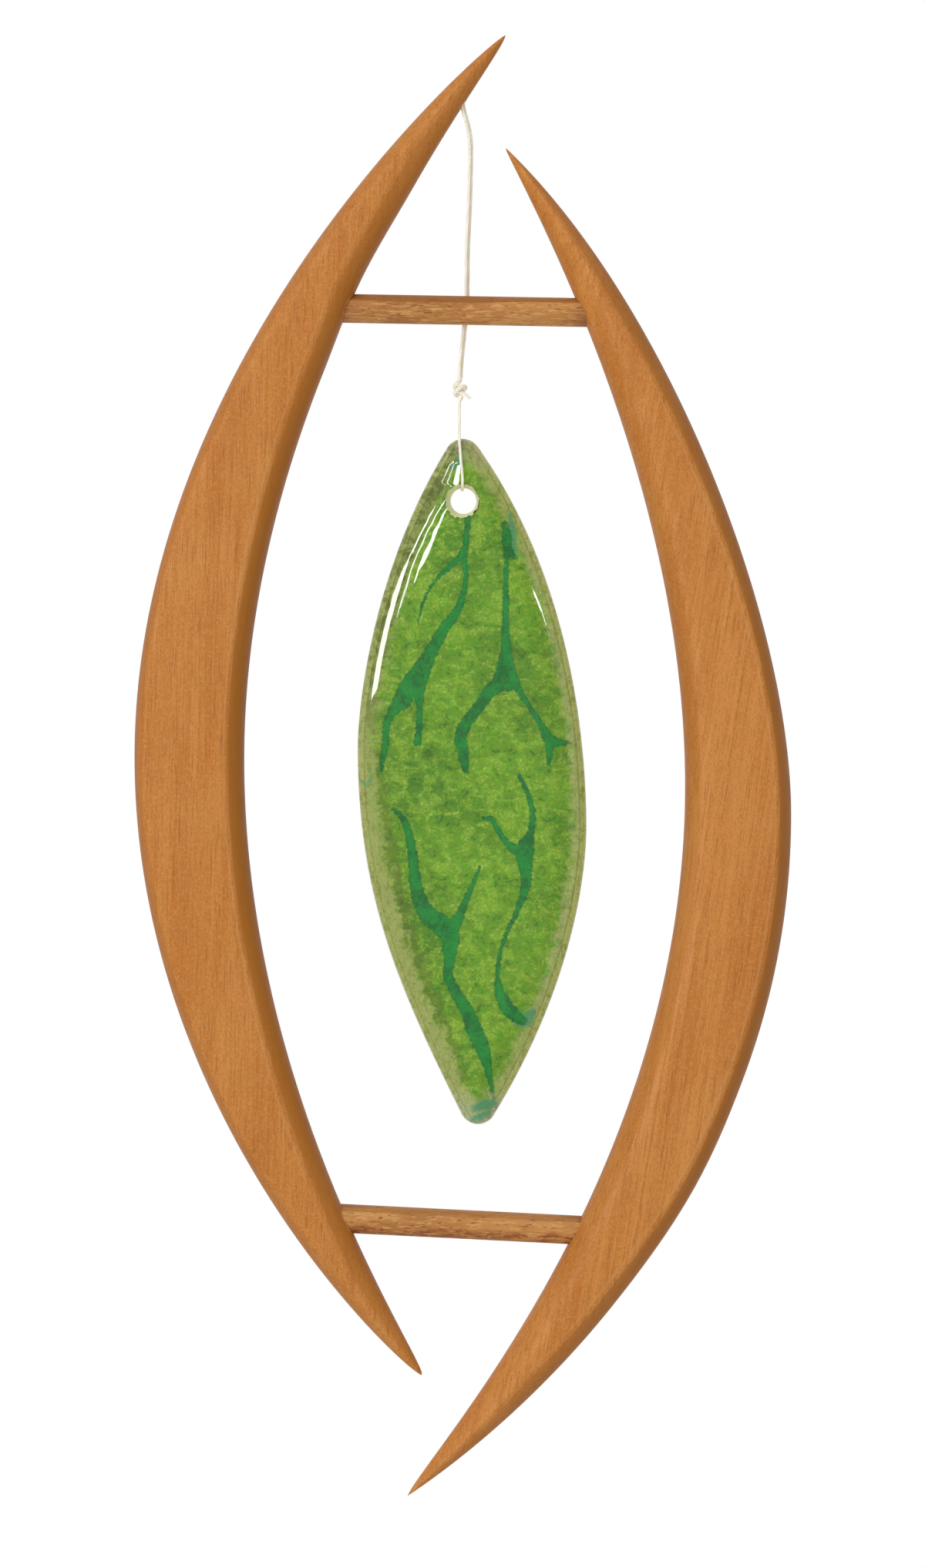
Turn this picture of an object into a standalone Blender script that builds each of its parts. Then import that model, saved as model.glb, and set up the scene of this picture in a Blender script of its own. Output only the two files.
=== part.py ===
"""A window hanging: two horn-tipped wooden limbs joined into an open ring by two dowels, and a glass
leaf hung inside the ring on a doubled thread.

Metres, +Z up, +X to the right and the front towards -Y. The origin is the upper mouth of the thread
hole in the left limb's top tip, the point that the whole piece hangs from.
"""

import math
from dataclasses import dataclass

import bmesh
import bpy
from mathutils import Vector

# Wooden limbs
LIMB_THICKNESS = 0.018
LEFT_HEIGHT = 0.3709
RIGHT_HEIGHT = 0.3731
LEFT_REACH = 0.0906
RIGHT_REACH = 0.0910
LEFT_BELLY_WIDTH = 0.0303
RIGHT_BELLY_WIDTH = 0.0293
LEFT_TOP_TIP = Vector((0.0120, 0.0, 0.0102))
RIGHT_TOP_TIP = Vector((0.0122, 0.0, -0.0211))
INNER_EDGE_BAND = 0.0042
OUTER_EDGE_BAND = 0.0028
BAND_GAIN_AT_TIP = 0.0015
RIDGE_SHARE = 0.56
FLAT_SHARE_AT_RIDGE = 0.03
FULL_THICKNESS_WIDTH = 0.018
TIP_TAPER_POWER = 1.7
STATIONS_PER_HALF = 26
LIMB_CROWDING = 1.35
CURVE_STEPS = 200
EDGE_STEPS = 8
EDGE_POWER = 3.0
TIP_BLUNTNESS = 0.12

# Dowels. A drop is down from a limb's top tip and a rise is up from its bottom tip.
DOWEL_DIAMETER = 0.008
DOWEL_SEAT_DEPTH = 0.008
DOWEL_CHAMFER = 0.0004
TOP_DOWEL_LEFT_DROP = 0.0757
TOP_DOWEL_RIGHT_DROP = 0.0455
BOTTOM_DOWEL_LEFT_RISE = 0.0433
BOTTOM_DOWEL_RIGHT_RISE = 0.0736
DOWEL_SIDES = 28

# Glass leaf
LEAF_HEIGHT = 0.1902
LEAF_LEFT_REACH = 0.0290
LEAF_RIGHT_REACH = 0.0345
LEAF_THICKNESS = 0.008
LEAF_EDGE_ROUND = 0.0055
LEAF_BAND_SHARE = 0.49
LEAF_TIP_RADIUS = 0.0051
LEAF_FULL_THICKNESS_WIDTH = 0.016
LEAF_HOLE_DIAMETER = 0.0087
LEAF_HOLE_FLARE = 0.0004
LEAF_HOLE_DROP = 0.0174
LEAF_HOLE_SHIFT = -0.0003
LEAF_STATIONS_PER_HALF = 24
LEAF_CROWDING = 1.7
LEAF_EDGE_STEPS = 4
LEAF_HOLE_SIDES = 32

# Thread
THREAD_DIAMETER = 0.0008
THREAD_HOLE_DIAMETER = 0.0026
THREAD_HOLE_SIDES = 14
STRAND_SHIFT = Vector((0.0003, 0.00046, 0.0))
STRAND_STEP = 0.0024
LOOP_STEP = 0.0013
KNOT_DIAMETER = 0.0040
KNOT_BEVEL = 0.0009
KNOT_SIDES = 16
TAIL_REACH = 0.0024
TAIL_ANGLE = math.radians(131)
TAIL_SIDES = 8

# Shading: edges sharper than these stay crisp
ROUND_ANGLE = math.radians(60)
TURNED_ANGLE = math.radians(40)
ARRIS_ANGLE = math.radians(32)

# Fits
SEAT_GAP = 0.0003
BORE_END_GAP = 0.0006
CUTTER_OVERRUN = 0.004

# Places. The leaf hangs plumb behind the top dowel, so its middle plane stands back by half the
# dowel and one thread.
LEAF_PLANE_Y = DOWEL_DIAMETER / 2 + THREAD_DIAMETER
LEAF_TOP = Vector((0.0002, LEAF_PLANE_Y, -0.1013))
LEAF_BOTTOM = LEAF_TOP + LEAF_HEIGHT * Vector((0.0221, 0.0, -1.0))
KNOT_TOP = Vector((-0.0005, LEAF_PLANE_Y, -0.0846))
KNOT_BOTTOM = Vector((-0.0007, LEAF_PLANE_Y, -0.0904))

# The pair of upper strands, read down their middle from inside the thread hole to the knot.
UPPER_ROUTE = (
    (0.0000, 0.0000, -0.0020),
    (0.0000, 0.0000, -0.0060),
    (0.0002, 0.0001, -0.0094),
    (0.0011, 0.0004, -0.0130),
    (0.0018, 0.0008, -0.0156),
    (0.0022, 0.0012, -0.0181),
    (0.0024, 0.0018, -0.0218),
    (0.0022, 0.0028, -0.0314),
    (0.0019, 0.0036, -0.0399),
    (0.0015, 0.0044, -0.0484),
    (0.0014, 0.0050, -0.0570),
    (0.0013, 0.0052, -0.0620),
    (0.0010, 0.0052, -0.0660),
    (0.0007, 0.0052, -0.0700),
    (0.0003, 0.0051, -0.0740),
    (-0.0003, 0.0049, -0.0800),
    (-0.0005, 0.0048, -0.0843),
)

# The loop, read from the knot down the front of the glass, through its hole and up the back.
LOOP_ROUTE = (
    (-0.0007, 0.00425, -0.0907),
    (-0.0008, 0.0034, -0.0940),
    (-0.0008, 0.0024, -0.0975),
    (-0.0008, 0.0013, -0.1012),
    (-0.0006, 0.0004, -0.1042),
    (-0.0004, 0.0000, -0.1070),
    (-0.0001, -0.0001, -0.1100),
    (0.0001, -0.0001, -0.1126),
    (0.0001, 0.0004, -0.1144),
    (0.0001, 0.0018, -0.1153),
    (0.0001, 0.0048, -0.1154),
    (0.0000, 0.0078, -0.1153),
    (0.0000, 0.0092, -0.1144),
    (-0.0001, 0.0097, -0.1126),
    (-0.0002, 0.0097, -0.1100),
    (-0.0004, 0.0096, -0.1070),
    (-0.0006, 0.0092, -0.1042),
    (-0.0008, 0.0083, -0.1012),
    (-0.0008, 0.0072, -0.0975),
    (-0.0008, 0.0062, -0.0940),
    (-0.0007, 0.00535, -0.0907),
)


@dataclass(frozen=True)
class Swerve:
    """A shallow bend of an edge away from the ring's middle: how far down it is, half its length and how
    far it goes, as shares of the limb's height."""

    drop: float
    half_length: float
    outward: float


@dataclass(frozen=True)
class Edge:
    """One long edge of a limb: the x of its belly, and as shares of the limb's height how far down the
    belly is, how far the curve runs straight up and down from there, and the leads that it leaves the two
    tips by, as x and z."""

    belly_x: float
    belly_drop: float
    rise: float
    fall: float
    top_lead: tuple
    bottom_lead: tuple
    swerve: Swerve = Swerve(0.0, 1.0, 0.0)


@dataclass(frozen=True)
class Limb:
    """A bent limb between two tips, with an outer and an inner edge. The bottom tip's x from the top
    tip is a share of the height."""

    name: str
    height: float
    top_tip: Vector
    bottom_shift: float
    outer: Edge
    inner: Edge
    belly_width: float

    @property
    def bottom_tip(self):
        """The lower end of the limb."""
        return self.top_tip + self.height * Vector((self.bottom_shift, 0.0, -1.0))


LEFT_LIMB = Limb(
    name="left_limb",
    height=LEFT_HEIGHT,
    top_tip=LEFT_TOP_TIP,
    bottom_shift=-0.0631,
    outer=Edge(-LEFT_REACH, 0.5390, 0.3087, 0.2691, (-0.0051, 0.0013), (-0.0167, 0.0078)),
    inner=Edge(
        LEFT_BELLY_WIDTH - LEFT_REACH,
        0.5408,
        0.2928,
        0.2615,
        (-0.0013, -0.0189),
        (0.0127, -0.0022),
        Swerve(0.1825, 0.0701, 0.0024),
    ),
    belly_width=LEFT_BELLY_WIDTH,
)
RIGHT_LIMB = Limb(
    name="right_limb",
    height=RIGHT_HEIGHT,
    top_tip=RIGHT_TOP_TIP,
    bottom_shift=-0.0732,
    outer=Edge(
        RIGHT_REACH,
        0.4945,
        0.1434,
        0.3042,
        (0.1206, -0.1158),
        (0.0426, 0.0281),
        Swerve(0.7743, 0.0858, 0.0016),
    ),
    inner=Edge(
        RIGHT_REACH - RIGHT_BELLY_WIDTH, 0.4728, 0.2495, 0.2938, (-0.0086, 0.0054), (0.0094, 0.0263)
    ),
    belly_width=RIGHT_BELLY_WIDTH,
)


@dataclass(frozen=True)
class LeafSide:
    """One side of the leaf's outline: its belly's x, how far each tip's arc turns, and as shares of the
    leaf's height how far down the belly is and how far the curve runs straight on from the arcs and from
    the belly."""

    belly_x: float
    top_turn: float
    bottom_turn: float
    belly_drop: float
    top_run: float
    rise: float
    bottom_run: float
    fall: float


LEAF_LEFT = LeafSide(
    -LEAF_LEFT_REACH, math.radians(58.5), math.radians(63.5), 0.4506, 0.2024, 0.0683, 0.2145, 0.2119
)
LEAF_RIGHT = LeafSide(
    LEAF_RIGHT_REACH, math.radians(54.5), math.radians(58.5), 0.5662, 0.2461, 0.1041, 0.2261, 0.0631
)


def clear_scene():
    """Removes whatever the scene holds before the piece is built."""
    for obj in list(bpy.data.objects):
        bpy.data.objects.remove(obj, do_unlink=True)


def material(name, colour, roughness, metallic=0.0):
    """A Principled BSDF material of one colour."""
    mat = bpy.data.materials.new(name)
    mat.use_nodes = True
    shader = mat.node_tree.nodes["Principled BSDF"]
    shader.inputs["Base Color"].default_value = (*colour, 1.0)
    shader.inputs["Roughness"].default_value = roughness
    shader.inputs["Metallic"].default_value = metallic
    return mat


def add_object(name, data, mat=None):
    """Links an object that holds the given mesh or curve."""
    obj = bpy.data.objects.new(name, data)
    bpy.context.scene.collection.objects.link(obj)
    if mat is not None:
        data.materials.append(mat)
    return obj


def mesh_from(name, bm, smooth_angle):
    """Turns a bmesh into a mesh that is smooth up to the given angle between faces."""
    bmesh.ops.recalc_face_normals(bm, faces=bm.faces)
    mesh = bpy.data.meshes.new(name)
    bm.to_mesh(mesh)
    bm.free()
    mesh.shade_smooth()
    mesh.set_sharp_from_angle(angle=smooth_angle)
    return mesh


def cubic(start, lead_out, lead_in, end, share):
    """The point at a share of a cubic Bezier curve."""
    rest = 1.0 - share
    return (
        start * rest**3
        + lead_out * (3 * rest**2 * share)
        + lead_in * (3 * rest * share**2)
        + end * share**3
    )


def by_length(points, count, crowding):
    """Picks count + 1 points along a fine line by their share of its length. Crowding above 1 draws them
    towards the line's start."""
    lengths = [0.0]
    for before, after in zip(points, points[1:]):
        lengths.append(lengths[-1] + (after - before).length)
    picked = []
    index = 0
    for number in range(count + 1):
        target = lengths[-1] * (number / count) ** crowding
        while index < len(points) - 2 and lengths[index + 1] < target:
            index += 1
        span = lengths[index + 1] - lengths[index]
        picked.append(points[index].lerp(points[index + 1], min(1.0, (target - lengths[index]) / span)))
    return picked


def flat(pair):
    """A point or a direction in the X-Z plane."""
    return Vector((pair[0], 0.0, pair[1]))


def half_edge(limb, edge, tip, lead, run):
    """A limb edge from a tip to its belly as closely spaced points."""
    belly = Vector((edge.belly_x, 0.0, limb.top_tip.z - edge.belly_drop * limb.height))
    lead_out = tip + flat(lead) * limb.height
    lead_in = belly + Vector((0, 0, run * limb.height))
    return [cubic(tip, lead_out, lead_in, belly, step / CURVE_STEPS) for step in range(CURVE_STEPS + 1)]


def edge_stations(limb, edge):
    """Points down one edge of a limb, from the top tip to the bottom tip, closer together at the tips."""
    upper = by_length(
        half_edge(limb, edge, limb.top_tip, edge.top_lead, edge.rise), STATIONS_PER_HALF, LIMB_CROWDING
    )
    lower = by_length(
        half_edge(limb, edge, limb.bottom_tip, edge.bottom_lead, -edge.fall), STATIONS_PER_HALF, LIMB_CROWDING
    )
    upper[0] = upper[0].lerp(upper[1], TIP_BLUNTNESS)
    lower[0] = lower[0].lerp(lower[1], TIP_BLUNTNESS)
    stations = upper + lower[-2::-1]
    side = math.copysign(1.0, edge.belly_x)
    swerve = edge.swerve
    for point in stations:
        drop = (limb.top_tip.z - point.z) / limb.height
        offset = min(1.0, abs(drop - swerve.drop) / swerve.half_length)
        point.x += side * swerve.outward * limb.height * math.cos(offset * math.pi / 2) ** 2
    return stations


def limb_section(outer, inner, limb):
    """The ring of points round a limb where its edges are at outer and inner. Front and back are flat
    between two arrises, the edges are rounded, and near a tip the flats close to a soft ridge."""
    across = inner - outer
    width = across.length
    taper = 1.0 - max(0.0, 1.0 - width / FULL_THICKNESS_WIDTH) ** TIP_TAPER_POWER
    half = LIMB_THICKNESS / 2 * taper
    gain = BAND_GAIN_AT_TIP * (1.0 - min(1.0, width / limb.belly_width))
    inner_band = min(INNER_EDGE_BAND + gain, RIDGE_SHARE * width)
    outer_band = min(OUTER_EDGE_BAND + gain, (1.0 - RIDGE_SHARE - FLAT_SHARE_AT_RIDGE) * width)

    def rounded(band):
        """Steps round an edge from the front arris to the back one, as depth in from the edge and y."""
        for step in range(EDGE_STEPS + 1):
            share = math.sin(math.pi / 2 * (2 * step / EDGE_STEPS - 1))
            yield band * abs(share) ** EDGE_POWER, half * share

    direction = across.normalized()
    ring = [outer + direction * depth + Vector((0, y, 0)) for depth, y in rounded(outer_band)]
    ring += [inner - direction * depth - Vector((0, y, 0)) for depth, y in rounded(inner_band)]
    return ring


def leaf_side_points(side, tip, vertical):
    """The leaf's outline from one tip round its arc and on to the belly. Vertical is 1 at the top tip."""
    turn = side.top_turn if vertical > 0 else side.bottom_turn
    run = side.top_run if vertical > 0 else side.bottom_run
    lead = side.rise if vertical > 0 else side.fall
    sign = math.copysign(1.0, side.belly_x)
    centre = Vector((tip.x, 0, tip.z - vertical * LEAF_TIP_RADIUS))
    arc = []
    for step in range(CURVE_STEPS + 1):
        angle = turn * step / CURVE_STEPS
        arc.append(
            centre + LEAF_TIP_RADIUS * Vector((sign * math.sin(angle), 0, vertical * math.cos(angle)))
        )
    lead_out = arc[-1] + run * LEAF_HEIGHT * flat((sign * math.cos(turn), -vertical * math.sin(turn)))
    belly = Vector((side.belly_x, 0, LEAF_TOP.z - side.belly_drop * LEAF_HEIGHT))
    lead_in = belly + Vector((0, 0, vertical * lead * LEAF_HEIGHT))
    curve = [cubic(arc[-1], lead_out, lead_in, belly, step / CURVE_STEPS) for step in range(CURVE_STEPS + 1)]
    return arc + curve[1:]


def leaf_stations(side):
    """Points down one side of the leaf, from the top tip to the bottom tip."""
    upper = by_length(leaf_side_points(side, LEAF_TOP, 1), LEAF_STATIONS_PER_HALF, LEAF_CROWDING)
    lower = by_length(leaf_side_points(side, LEAF_BOTTOM, -1), LEAF_STATIONS_PER_HALF, LEAF_CROWDING)
    return upper + lower[-2::-1]


def leaf_section(left, right):
    """The ring of points round the leaf between its two sides: flat glass with pillowed edges."""
    across = right - left
    width = across.length
    thinning = 1.0 - min(1.0, width / LEAF_FULL_THICKNESS_WIDTH)
    half = LEAF_THICKNESS / 2 * math.sqrt(1.0 - thinning**2)
    band = min(LEAF_EDGE_ROUND, LEAF_BAND_SHARE * width)
    direction = across.normalized()
    ring = []
    for start, heading, facing in ((left, direction, 1), (right, -direction, -1)):
        for step in range(-LEAF_EDGE_STEPS, LEAF_EDGE_STEPS + 1):
            angle = math.pi / 2 * step / LEAF_EDGE_STEPS
            depth = band * (1.0 - math.cos(angle))
            y = LEAF_PLANE_Y + facing * half * math.sin(angle)
            ring.append(start + heading * depth + Vector((0, y, 0)))
    return ring


def loft(name, rings, smooth_angle):
    """A closed mesh through the rings: the first is a face, and each next one is extruded from it."""
    bm = bmesh.new()
    verts = [bm.verts.new(point) for point in rings[0]]
    face = bm.faces.new(verts)
    for number, ring in enumerate(rings[1:]):
        place = {vert: index for index, vert in enumerate(verts)}
        made = bmesh.ops.extrude_face_region(bm, geom=[face])["geom"]
        if number > 0:
            bm.faces.remove(face)
        face = next(item for item in made if isinstance(item, bmesh.types.BMFace))
        verts = [None] * len(ring)
        for vert in face.verts:
            below = next(edge.other_vert(vert) for edge in vert.link_edges if edge.other_vert(vert) in place)
            verts[place[below]] = vert
        for vert, point in zip(verts, ring):
            vert.co = point
    return mesh_from(name, bm, smooth_angle)


def cylinder(name, radius, length, sides, smooth_angle, chamfer=0.0):
    """A cylinder about Z, centred, with optional chamfers on its rims."""
    bm = bmesh.new()
    bmesh.ops.create_cone(
        bm, cap_ends=True, segments=sides, radius1=radius, radius2=radius, depth=length
    )
    if chamfer:
        rims = [edge for edge in bm.edges if abs(edge.verts[0].co.z - edge.verts[1].co.z) < length / 2]
        bmesh.ops.bevel(
            bm, geom=rims, offset=chamfer, segments=2, profile=0.5, affect="EDGES", material=-1
        )
    return mesh_from(name, bm, smooth_angle)


def turned(name, profile, sides, smooth_angle):
    """A closed solid turned about Z from (radius, height) points that start and end on the axis."""
    bm = bmesh.new()
    verts = [bm.verts.new((radius, 0, height)) for radius, height in profile]
    edges = [bm.edges.new(pair) for pair in zip(verts, verts[1:])]
    bmesh.ops.spin(
        bm, geom=verts + edges, cent=(0, 0, 0), axis=(0, 0, 1), angle=math.tau, steps=sides, use_merge=True
    )
    bmesh.ops.remove_doubles(bm, verts=bm.verts, dist=1e-6)
    return mesh_from(name, bm, smooth_angle)


def cutter(name, mesh):
    """A helper solid that Boolean modifiers subtract."""
    obj = add_object(name, mesh)
    obj.hide_render = True
    obj.display_type = "WIRE"
    return obj


def boolean(obj, other, operation):
    """Adds an exact Boolean of obj with other."""
    modifier = obj.modifiers.new(other.name, "BOOLEAN")
    modifier.operation = operation
    modifier.solver = "EXACT"
    modifier.object = other


def smooth_route(points, spacing):
    """Points about a spacing apart on a smooth curve through the given ones."""
    route = [Vector(point) for point in points]
    route = [route[0] * 2 - route[1], *route, route[-1] * 2 - route[-2]]
    fine = []
    for before, start, end, after in zip(route, route[1:], route[2:], route[3:]):
        lead_out = start + (end - before) / 6
        lead_in = end - (after - start) / 6
        fine += [cubic(start, lead_out, lead_in, end, number / CURVE_STEPS) for number in range(CURVE_STEPS)]
    fine.append(route[-2])
    length = sum((after - before).length for before, after in zip(fine, fine[1:]))
    return by_length(fine, max(2, round(length / spacing)), 1)


def thread_tube(name, points, mat):
    """A round strand along the points, with flat ends."""
    curve = bpy.data.curves.new(name, "CURVE")
    curve.dimensions = "3D"
    curve.bevel_depth = THREAD_DIAMETER / 2
    curve.bevel_resolution = 2
    curve.use_fill_caps = True
    spline = curve.splines.new("POLY")
    spline.points.add(len(points) - 1)
    for spline_point, place in zip(spline.points, points):
        spline_point.co = (*place, 1.0)
    return add_object(name, curve, mat)


def inner_edge_point(limb, drop):
    """The point of a limb's inner edge at a drop below its top tip."""
    height = limb.top_tip.z - drop
    stations = edge_stations(limb, limb.inner)
    for above, below in zip(stations, stations[1:]):
        if above.z >= height > below.z:
            return above.lerp(below, (above.z - height) / (above.z - below.z))
    return stations[-1]


def build_dowel(name, left_drop, right_drop, mat):
    """A dowel between the limbs' inner edges, seated in both, and the cutter that bores them for it."""
    left = inner_edge_point(LEFT_LIMB, left_drop)
    right = inner_edge_point(RIGHT_LIMB, right_drop)
    seat = (right - left).normalized() * DOWEL_SEAT_DEPTH
    left = left - seat
    right = right + seat
    length = (right - left).length
    tilt = math.pi / 2 - math.atan2(right.z - left.z, right.x - left.x)
    radius = DOWEL_DIAMETER / 2
    dowel = add_object(name, cylinder(name, radius, length, DOWEL_SIDES, TURNED_ANGLE, DOWEL_CHAMFER), mat)
    hole = name + "_bore"
    bore_length = length + 2 * BORE_END_GAP
    bore = cutter(hole, cylinder(hole, radius + SEAT_GAP, bore_length, DOWEL_SIDES, TURNED_ANGLE))
    for obj in (dowel, bore):
        obj.location = (left + right) / 2
        obj.rotation_euler = (0, tilt, 0)
    return bore


def build_limb(limb, mat, bores):
    """A limb lofted through its sections, with its holes cut."""
    outer = edge_stations(limb, limb.outer)
    inner = edge_stations(limb, limb.inner)
    rings = [limb_section(a, b, limb) for a, b in zip(outer, inner)]
    obj = add_object(limb.name, loft(limb.name, rings, ARRIS_ANGLE), mat)
    for bore in bores:
        boolean(obj, bore, "DIFFERENCE")


def thread_hole_cutter():
    """The cutter of the upright thread hole through the left limb's top tip."""
    length = LEFT_LIMB.belly_width
    mesh = cylinder("thread_hole", THREAD_HOLE_DIAMETER / 2, length, THREAD_HOLE_SIDES, TURNED_ANGLE)
    hole = cutter("thread_hole", mesh)
    hole.location = (0, 0, CUTTER_OVERRUN - length / 2)
    return hole


def build_leaf(mat):
    """The glass leaf, pillowed at its edges, with its drilled hole."""
    left = leaf_stations(LEAF_LEFT)
    right = leaf_stations(LEAF_RIGHT)
    rings = [leaf_section(a, b) for a, b in zip(left[1:-1], right[1:-1])]
    leaf = add_object("glass_leaf", loft("glass_leaf", rings, ROUND_ANGLE), mat)
    radius = LEAF_HOLE_DIAMETER / 2
    face = LEAF_THICKNESS / 2
    reach = face + CUTTER_OVERRUN
    wide = radius + LEAF_HOLE_FLARE
    lip = face - LEAF_HOLE_FLARE
    profile = ((0, reach), (wide, reach), (wide, face), (radius, lip), (radius, -lip), (wide, -face))
    profile += ((wide, -reach), (0, -reach))
    hole = cutter("leaf_hole", turned("leaf_hole", profile, LEAF_HOLE_SIDES, TURNED_ANGLE))
    hole.location = LEAF_TOP + Vector((LEAF_HOLE_SHIFT, 0, -LEAF_HOLE_DROP))
    hole.rotation_euler = (math.pi / 2, 0, 0)
    boolean(leaf, hole, "DIFFERENCE")


def build_knot(mat):
    """The knot as a rounded barrel with the thread's short tail standing out of its side."""
    height = (KNOT_TOP - KNOT_BOTTOM).length
    knot = add_object(
        "thread_knot",
        cylinder("thread_knot", KNOT_DIAMETER / 2, height, KNOT_SIDES, ROUND_ANGLE, KNOT_BEVEL),
        mat,
    )
    centre = (KNOT_TOP + KNOT_BOTTOM) / 2
    knot.location = centre
    length = KNOT_DIAMETER / 2 + TAIL_REACH
    tail = cutter("tail", cylinder("tail", THREAD_DIAMETER / 2, length, TAIL_SIDES, ROUND_ANGLE))
    tail.location = centre + length / 2 * Vector((math.sin(TAIL_ANGLE), 0, math.cos(TAIL_ANGLE)))
    tail.rotation_euler = (0, TAIL_ANGLE, 0)
    boolean(knot, tail, "UNION")


def build_thread(mat):
    """The two upper strands, the loop through the glass and the knot between them."""
    middle = smooth_route(UPPER_ROUTE, STRAND_STEP)
    thread_tube("thread_strand_front", [point - STRAND_SHIFT for point in middle], mat)
    thread_tube("thread_strand_back", [point + STRAND_SHIFT for point in middle], mat)
    thread_tube("thread_loop", smooth_route(LOOP_ROUTE, LOOP_STEP), mat)
    build_knot(mat)


def main():
    """Builds the whole hanging."""
    clear_scene()
    wood = material("cherry_wood", (0.60, 0.27, 0.09), 0.5)
    beech = material("beech_dowel", (0.62, 0.36, 0.18), 0.55)
    glass = material("green_glass", (0.19, 0.36, 0.05), 0.15)
    thread = material("thread", (0.72, 0.62, 0.45), 0.5)
    top_bore = build_dowel("top_dowel", TOP_DOWEL_LEFT_DROP, TOP_DOWEL_RIGHT_DROP, beech)
    bottom_bore = build_dowel(
        "bottom_dowel", LEFT_HEIGHT - BOTTOM_DOWEL_LEFT_RISE, RIGHT_HEIGHT - BOTTOM_DOWEL_RIGHT_RISE, beech
    )
    build_limb(LEFT_LIMB, wood, (top_bore, bottom_bore, thread_hole_cutter()))
    build_limb(RIGHT_LIMB, wood, (top_bore, bottom_bore))
    build_leaf(glass)
    build_thread(thread)


main()
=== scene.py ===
"""Dresses the window hanging: oiled wood limbs and dowels, the fused glass leaf and its thread.

Metres, +Z up and the front towards -Y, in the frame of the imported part. The limbs and the leaf are
lofted again with fine sections from the part's own sizes, because their faceted solids are too coarse
for polished wood and glass.
"""

import logging
import math
from dataclasses import dataclass
from enum import Enum

import bmesh
import bpy
from mathutils import Matrix, Vector, noise
from mathutils.kdtree import KDTree


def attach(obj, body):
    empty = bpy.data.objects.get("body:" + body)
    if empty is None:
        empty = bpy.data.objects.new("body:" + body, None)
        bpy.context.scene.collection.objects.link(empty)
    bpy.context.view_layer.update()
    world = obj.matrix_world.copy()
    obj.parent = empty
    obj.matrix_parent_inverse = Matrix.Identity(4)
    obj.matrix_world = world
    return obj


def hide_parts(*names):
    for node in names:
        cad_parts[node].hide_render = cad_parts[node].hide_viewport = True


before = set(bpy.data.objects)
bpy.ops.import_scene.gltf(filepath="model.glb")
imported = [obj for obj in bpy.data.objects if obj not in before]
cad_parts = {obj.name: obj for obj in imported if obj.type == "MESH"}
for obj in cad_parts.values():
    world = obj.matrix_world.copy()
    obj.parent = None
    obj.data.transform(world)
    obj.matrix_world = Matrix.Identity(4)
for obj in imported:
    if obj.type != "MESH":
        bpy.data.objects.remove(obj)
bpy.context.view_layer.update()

log = logging.getLogger("hanging")

Socket = bpy.types.NodeSocket
Shape = bmesh.types.BMesh
Material = bpy.types.Material
Piece = bpy.types.Object

MM = 0.001
ROOT = "root"

# The angles in degrees up to which the faces of a shape shade as one surface
TOOL_SMOOTH = 30
WOOD_SMOOTH = 40
DRILLED_SMOOTH = 50
ROUND_SMOOTH = 60


class Slot(Enum):
    """The record's material slots."""

    LIMB = "limb_wood"
    DOWEL = "dowel_wood"
    GLASS = "leaf_glass"
    THREAD = "thread"


def paint(red: int, green: int, blue: int) -> tuple[float, float, float, float]:
    """A colour as the eye reads it, made linear.

    Args:
        red: Red from 0 to 255.
        green: Green from 0 to 255.
        blue: Blue from 0 to 255.

    Returns:
        The linear colour with full alpha.
    """
    shares = [value / 255 for value in (red, green, blue)]
    linear = [((share + 0.055) / 1.055) ** 2.4 if share > 0.04045 else share / 12.92 for share in shares]
    return (linear[0], linear[1], linear[2], 1.0)


def cubic(start: Vector, lead_out: Vector, lead_in: Vector, end: Vector, share: float) -> Vector:
    """A point of a cubic Bezier curve.

    Args:
        start: Where the curve starts.
        lead_out: The handle that it leaves by.
        lead_in: The handle that it arrives by.
        end: Where it ends.
        share: How far along the curve, from 0 to 1.

    Returns:
        The point.
    """
    rest = 1.0 - share
    early = start * rest**3 + lead_out * (3 * rest**2 * share)
    return early + lead_in * (3 * rest * share**2) + end * share**3


def by_length(points: list[Vector], count: int, crowding: float = 1.0) -> list[Vector]:
    """Picks points along a fine line by their share of its length.

    Args:
        points: The fine line.
        count: How many steps to make.
        crowding: Above 1 it draws the steps towards the line's start.

    Returns:
        count + 1 points.
    """
    lengths = [0.0]
    for before, after in zip(points, points[1:]):
        lengths.append(lengths[-1] + (after - before).length)
    picked = []
    index = 0
    for number in range(count + 1):
        target = lengths[-1] * (number / count) ** crowding
        while index < len(points) - 2 and lengths[index + 1] < target:
            index += 1
        span = lengths[index + 1] - lengths[index]
        picked.append(points[index].lerp(points[index + 1], min(1.0, (target - lengths[index]) / span)))
    return picked


def smooth_route(points: list[Vector], spacing: float) -> list[Vector]:
    """Evenly spaced points on a smooth curve through the given ones.

    Args:
        points: The points that the curve passes.
        spacing: About how far apart the new points are.

    Returns:
        The new points, both ends among them.
    """
    route = [points[0] * 2 - points[1], *points, points[-1] * 2 - points[-2]]
    steps = 60
    fine = []
    for before, start, end, after in zip(route, route[1:], route[2:], route[3:]):
        lead_out = start + (end - before) / 6
        lead_in = end - (after - start) / 6
        fine += [cubic(start, lead_out, lead_in, end, number / steps) for number in range(steps)]
    fine.append(route[-2])
    return by_length(fine, max(2, round(run_length(fine) / spacing)))


def run_length(points: list[Vector]) -> float:
    """The length of a line through points."""
    return sum((after - before).length for before, after in zip(points, points[1:]))


def flat(pair: tuple[float, float]) -> Vector:
    """A point or a direction in the X-Z plane."""
    return Vector((pair[0], 0.0, pair[1]))


@dataclass
class Ring:
    """One section of a loft: its points in order and, for each, a value that the finish reads."""

    points: list[Vector]
    values: list[float]


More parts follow.
